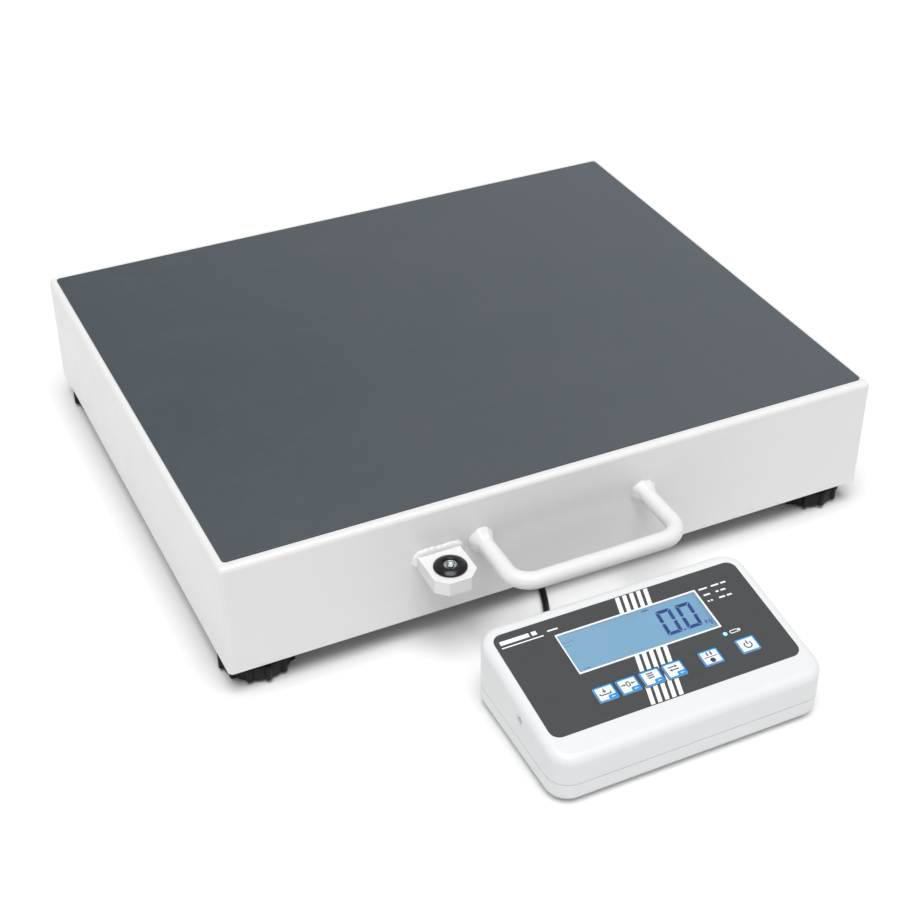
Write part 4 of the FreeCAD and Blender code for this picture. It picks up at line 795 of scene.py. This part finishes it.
def make_knobs():
    """Hand knobs with round ribs and soft edges, on moulded rubber pads."""
    levels = [(15.0, 5.2, 0), (15.0, 2.6, 0), (15.4, 2.1, 0), (22.6, 2.0, 0.75),
              (24.0, 2.4, 0.94), (24.5, 3.2, 1), (24.5, 12.8, 1), (24.1, 13.9, 0.94),
              (23.3, 14.4, 0.8), (22.0, 14.5, 0.5), (17.0, 13.9, 0), (11.2, 14.0, 0),
              (9.5, 14.9, 0), (9.0, 16.0, 0), (9.0, 18.9, 0), (8.5, 19.45, 0),
              (5.2, 19.5, 0), (5.0, 19.0, 0), (5.0, 8.3, 0)]
    step = math.tau / RIB_COUNT
    rising = [0.02, 0.04, 0.06, 0.078, 0.09, 0.1, 0.14, 0.2]
    turns = [0.0, *rising, step / 2, *(step - turn for turn in reversed(rising))]
    angles = [step * rib + turn for rib in range(RIB_COUNT) for turn in turns]
    for corner in ("fl", "fr", "bl", "br"):
        low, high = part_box(f"foot_knob_{corner}")
        base = (low + high) / 2 / MM
        rings = []
        for radius, height, share in levels:
            reach = [radius + share * rib_height(angle) for angle in angles]
            rings.append([(base.x + r * math.cos(angle), base.y + r * math.sin(angle), height)
                          for r, angle in zip(reach, angles)])
        piece(f"hand_knob_{corner}", loft(bmesh.new(), rings), f"knob_{corner}",
              FINISHES["black_plastic"], (f"foot_knob_{corner}",), 50)
        profile = [(12.6, 0.0), (13.6, 0.25), (14.0, 0.9), (14.0, 2.0), (13.4, 2.4),
                   (13.4, 2.9), (14.0, 3.3), (14.0, 4.5), (13.6, 5.0), (5.0, 5.0), (5.0, 7.7),
                   (4.7, 8.0)]
        turned(f"pad_{corner}_tread", profile, (base.x, base.y, 0), f"pad_{corner}",
               FINISHES["black_rubber"], (f"foot_pad_{corner}",), sharp=50)


def make_level():
    """Bull's-eye level: black bezel, silver ring, domed lens, target ring and bubble."""
    base = Vector(LEVEL_BASE)
    bezel = [(5.0, -7.8), (8.0, -9.0), (8.0, -0.1), (11.1, -0.05), (11.5, 0.3), (11.5, 1.1),
             (11.2, 1.5), (9.2, 2.6), (8.2, 3.1), (7.2, 3.35), (6.2, 3.35), (5.5, 3.1),
             (5.1, 2.5), (4.8, 1.6), (4.8, -6.9)]
    turned("level_bezel", bezel, base, "platform", FINISHES["level_black"],
           ("level_housing",), sharp=50)
    cup = [(4.75, -6.8), (4.75, 1.7), (4.5, 2.1), (3.9, 1.9), (3.6, 1.3), (3.6, 1.0),
           (0.05, 0.9)]
    turned("level_cup", cup, base, "platform", SILVER)
    ring = [(1.9, 0.9), (2.6, 0.9), (2.6, 1.12), (1.9, 1.12)]
    turned("level_target", ring, base, "platform", PRINT_DARK, looped=True)
    bubble = [(1.5, 1.0), (1.7, 1.3), (1.5, 1.6), (1.0, 1.75), (0.05, 1.8)]
    turned("level_air", bubble, base + Vector((0.3, 0.2, 0)), "platform",
           FINISHES["level_bubble"], ("level_bubble",), steps=32)
    lens = [(4.1, 1.95), (4.1, 2.15), (3.5, 2.4), (2.5, 2.65), (1.3, 2.82), (0.05, 2.86),
            (0.05, 2.6), (1.3, 2.56), (2.5, 2.4), (3.5, 2.15)]
    turned("level_lens", lens, base, "platform", FINISHES["clear_acrylic"],
           ("level_vial",), looped=True)


make_knobs()
make_level()


# ---------------------------------------------------------------- welds

def make_collars():
    """Painted weld collars where the carry handle meets the skirt."""
    for number, leg_x in enumerate(HANDLE_LEGS):
        base = Vector((leg_x, SKIRT_FRONT, HANDLE_LEVEL))
        profile = [(9.2, -0.6), (9.6, 0.1), (9.5, 0.9), (9.0, 1.9), (8.3, 2.9), (7.7, 3.9),
                   (7.2, 4.9), (6.75, 5.9), (6.4, 6.9), (6.0, 7.8), (5.6, 8.2)]

        def ripple(angle, height):
            beads = 0.025 * math.cos(9 * angle + 2.3 * math.sin(angle) + number)
            spot = Vector((math.cos(angle), math.sin(angle), 0.12 * height + 5 * number)) * 1.5
            return 1 + beads + 0.11 * noise.noise(spot)

        rings = turned_rings(profile, base, (0, -1, 0), 96, ripple)
        piece(f"weld_collar_{number}", loft(bmesh.new(), rings), "platform",
              FINISHES["white_paint"], ("weld_beads",), 80)


def make_bracket_bead():
    """Painted weld bead along the top and both sides of the level's bracket."""
    path = [(-83.2, 63), (-83.0, 66), (-82.9, 69), (-83.4, 71.4), (-85.2, 72.6)]
    path += [(-85.2 - 2.2 * i, 72.8) for i in range(1, 13)]
    path += [(-113.4, 72.4), (-115.0, 70.8), (-115.2, 68), (-115.1, 65), (-115, 62)]
    steps = []
    for (x0, z0), (x1, z1) in zip(path, path[1:]):
        steps += [(x0 + (x1 - x0) * k / 4, z0 + (z1 - z0) * k / 4) for k in range(4)]
    rings = []
    for i, (x, z) in enumerate(steps):
        ahead, behind = steps[min(i + 1, len(steps) - 1)], steps[max(i - 1, 0)]
        along = Vector((ahead[0] - behind[0], 0, ahead[1] - behind[1])).normalized()
        side = along.cross(Vector((0, 1, 0)))
        lump = 3.1 + 0.1 * math.cos(i * 0.8) + 0.7 * noise.noise(Vector((i * 0.16, 1.7, 0)))
        lump *= min(1.0, 0.45 + i / 6, 0.45 + (len(steps) - 1 - i) / 6)
        ring = []
        for k in range(18):
            angle = math.tau * k / 18
            spot = Vector((x / 4.2, math.cos(angle), z / 4.2 + math.sin(angle)))
            r = lump * (1 + 0.15 * noise.noise(spot))
            spoke = math.cos(angle) * side + math.sin(angle) * Vector((0, 1, 0))
            ring.append(Vector((x, SKIRT_FRONT + 0.4, z)) + r * spoke)
        rings.append(ring)
    piece("weld_bracket_bead", loft(bmesh.new(), rings), "platform", FINISHES["white_paint"],
          sharp=75)


make_collars()
make_bracket_bead()


# ---------------------------------------------------------------- small parts of the case

def make_strain_relief():
    """Ribbed rubber sleeve that tapers away from the display's back."""
    profile = [(5.9, -3.0), (5.9, 0.6), (5.5, 1.0)]
    for i in range(6):
        start = 1.4 + 2.5 * i
        outer = 5.1 - 0.25 * i
        profile += [(outer - 0.7, start), (outer, start + 0.3), (outer, start + 1.5),
                    (outer - 0.7, start + 1.8)]
    profile += [(3.5, 16.4), (3.2, 17.0), (2.5, 17.0)]
    turned("strain_sleeve", profile, SLEEVE_BASE, "display", FINISHES["black_rubber"],
           ("display_strain_relief",), along=(0, 1, 0), steps=48)


def make_socket():
    """Power inlet in the case's left side: a pale moulded cup with its contact pin."""
    profile = [(5.0, 14.2), (5.0, 2.7), (3.95, 2.7), (3.95, 0.4), (3.75, 0.25), (3.0, 0.35),
               (2.8, 0.6), (2.8, 2.4), (0.85, 2.4), (0.85, 1.5), (0.6, 1.25), (0.05, 1.2)]
    turned("socket_cup", profile, SOCKET_BASE, "display", FINISHES["case_white"],
           ("power_socket",), along=(1, 0, 0), steps=40)


def make_door_grip():
    """Raised finger ribs on the outside of the battery door."""
    low, high = (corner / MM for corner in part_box("battery_cover"))
    middle = (low.x + high.x) / 2
    bm = bmesh.new()
    for i in range(7):
        across = round_rect(20 - 1.2 * abs(i - 3), 1.3, 0.6,
                            middle=(middle, high.y - 22 + 2.6 * i))
        loft(bm, [[(x, y, low.z + 0.2) for x, y in across],
                  [(x, y, low.z - 0.3) for x, y in across],
                  [(middle + 0.96 * (x - middle), y, low.z - 0.5) for x, y in across]])
    piece("door_grip", bm, "battery_cover", FINISHES["case_white"])


make_strain_relief()
make_socket()
make_door_grip()


# ---------------------------------------------------------------- floor and light

FLOOR_HALF, FLOOR_DROP = 9, 0.0002
SKY_STRENGTH, SUN_STRENGTH, SUN_WIDTH, SUN_TOWARDS = 0.5, 2.45, 42, (-0.11, -0.23, 1)


def make_stage():
    """A wide sheet of pale paper just under the feet."""
    bm = bmesh.new()
    bmesh.ops.create_grid(bm, x_segments=1, y_segments=1, size=FLOOR_HALF)
    mesh = bpy.data.meshes.new("studio_floor")
    bm.to_mesh(mesh)
    bm.free()
    floor = linked("studio_floor", mesh)
    floor.location.z = -FLOOR_DROP
    paper = Finish("studio_paper", (0.86, 0.86, 0.86), 0.9, Specular_IOR_Level=0.1)
    paper.bump(paper.noise(400, 2.0), 0.2)
    mesh.materials.append(paper.material)


def make_lights():
    """An even white sky and one broad overhead light from the front left."""
    world = bpy.data.worlds.new("studio")
    bpy.context.scene.world = world
    world.use_nodes = True
    sky = world.node_tree.nodes["Background"]
    sky.inputs["Color"].default_value = (1, 1, 1, 1)
    sky.inputs["Strength"].default_value = SKY_STRENGTH
    data = bpy.data.lights.new("overhead", "SUN")
    data.energy = SUN_STRENGTH
    data.angle = math.radians(SUN_WIDTH)
    lamp = linked("overhead", data)
    lamp.rotation_euler = Vector(SUN_TOWARDS).to_track_quat("Z", "Y").to_euler()
    bpy.context.scene.view_settings.view_transform = "Standard"


make_stage()
make_lights()
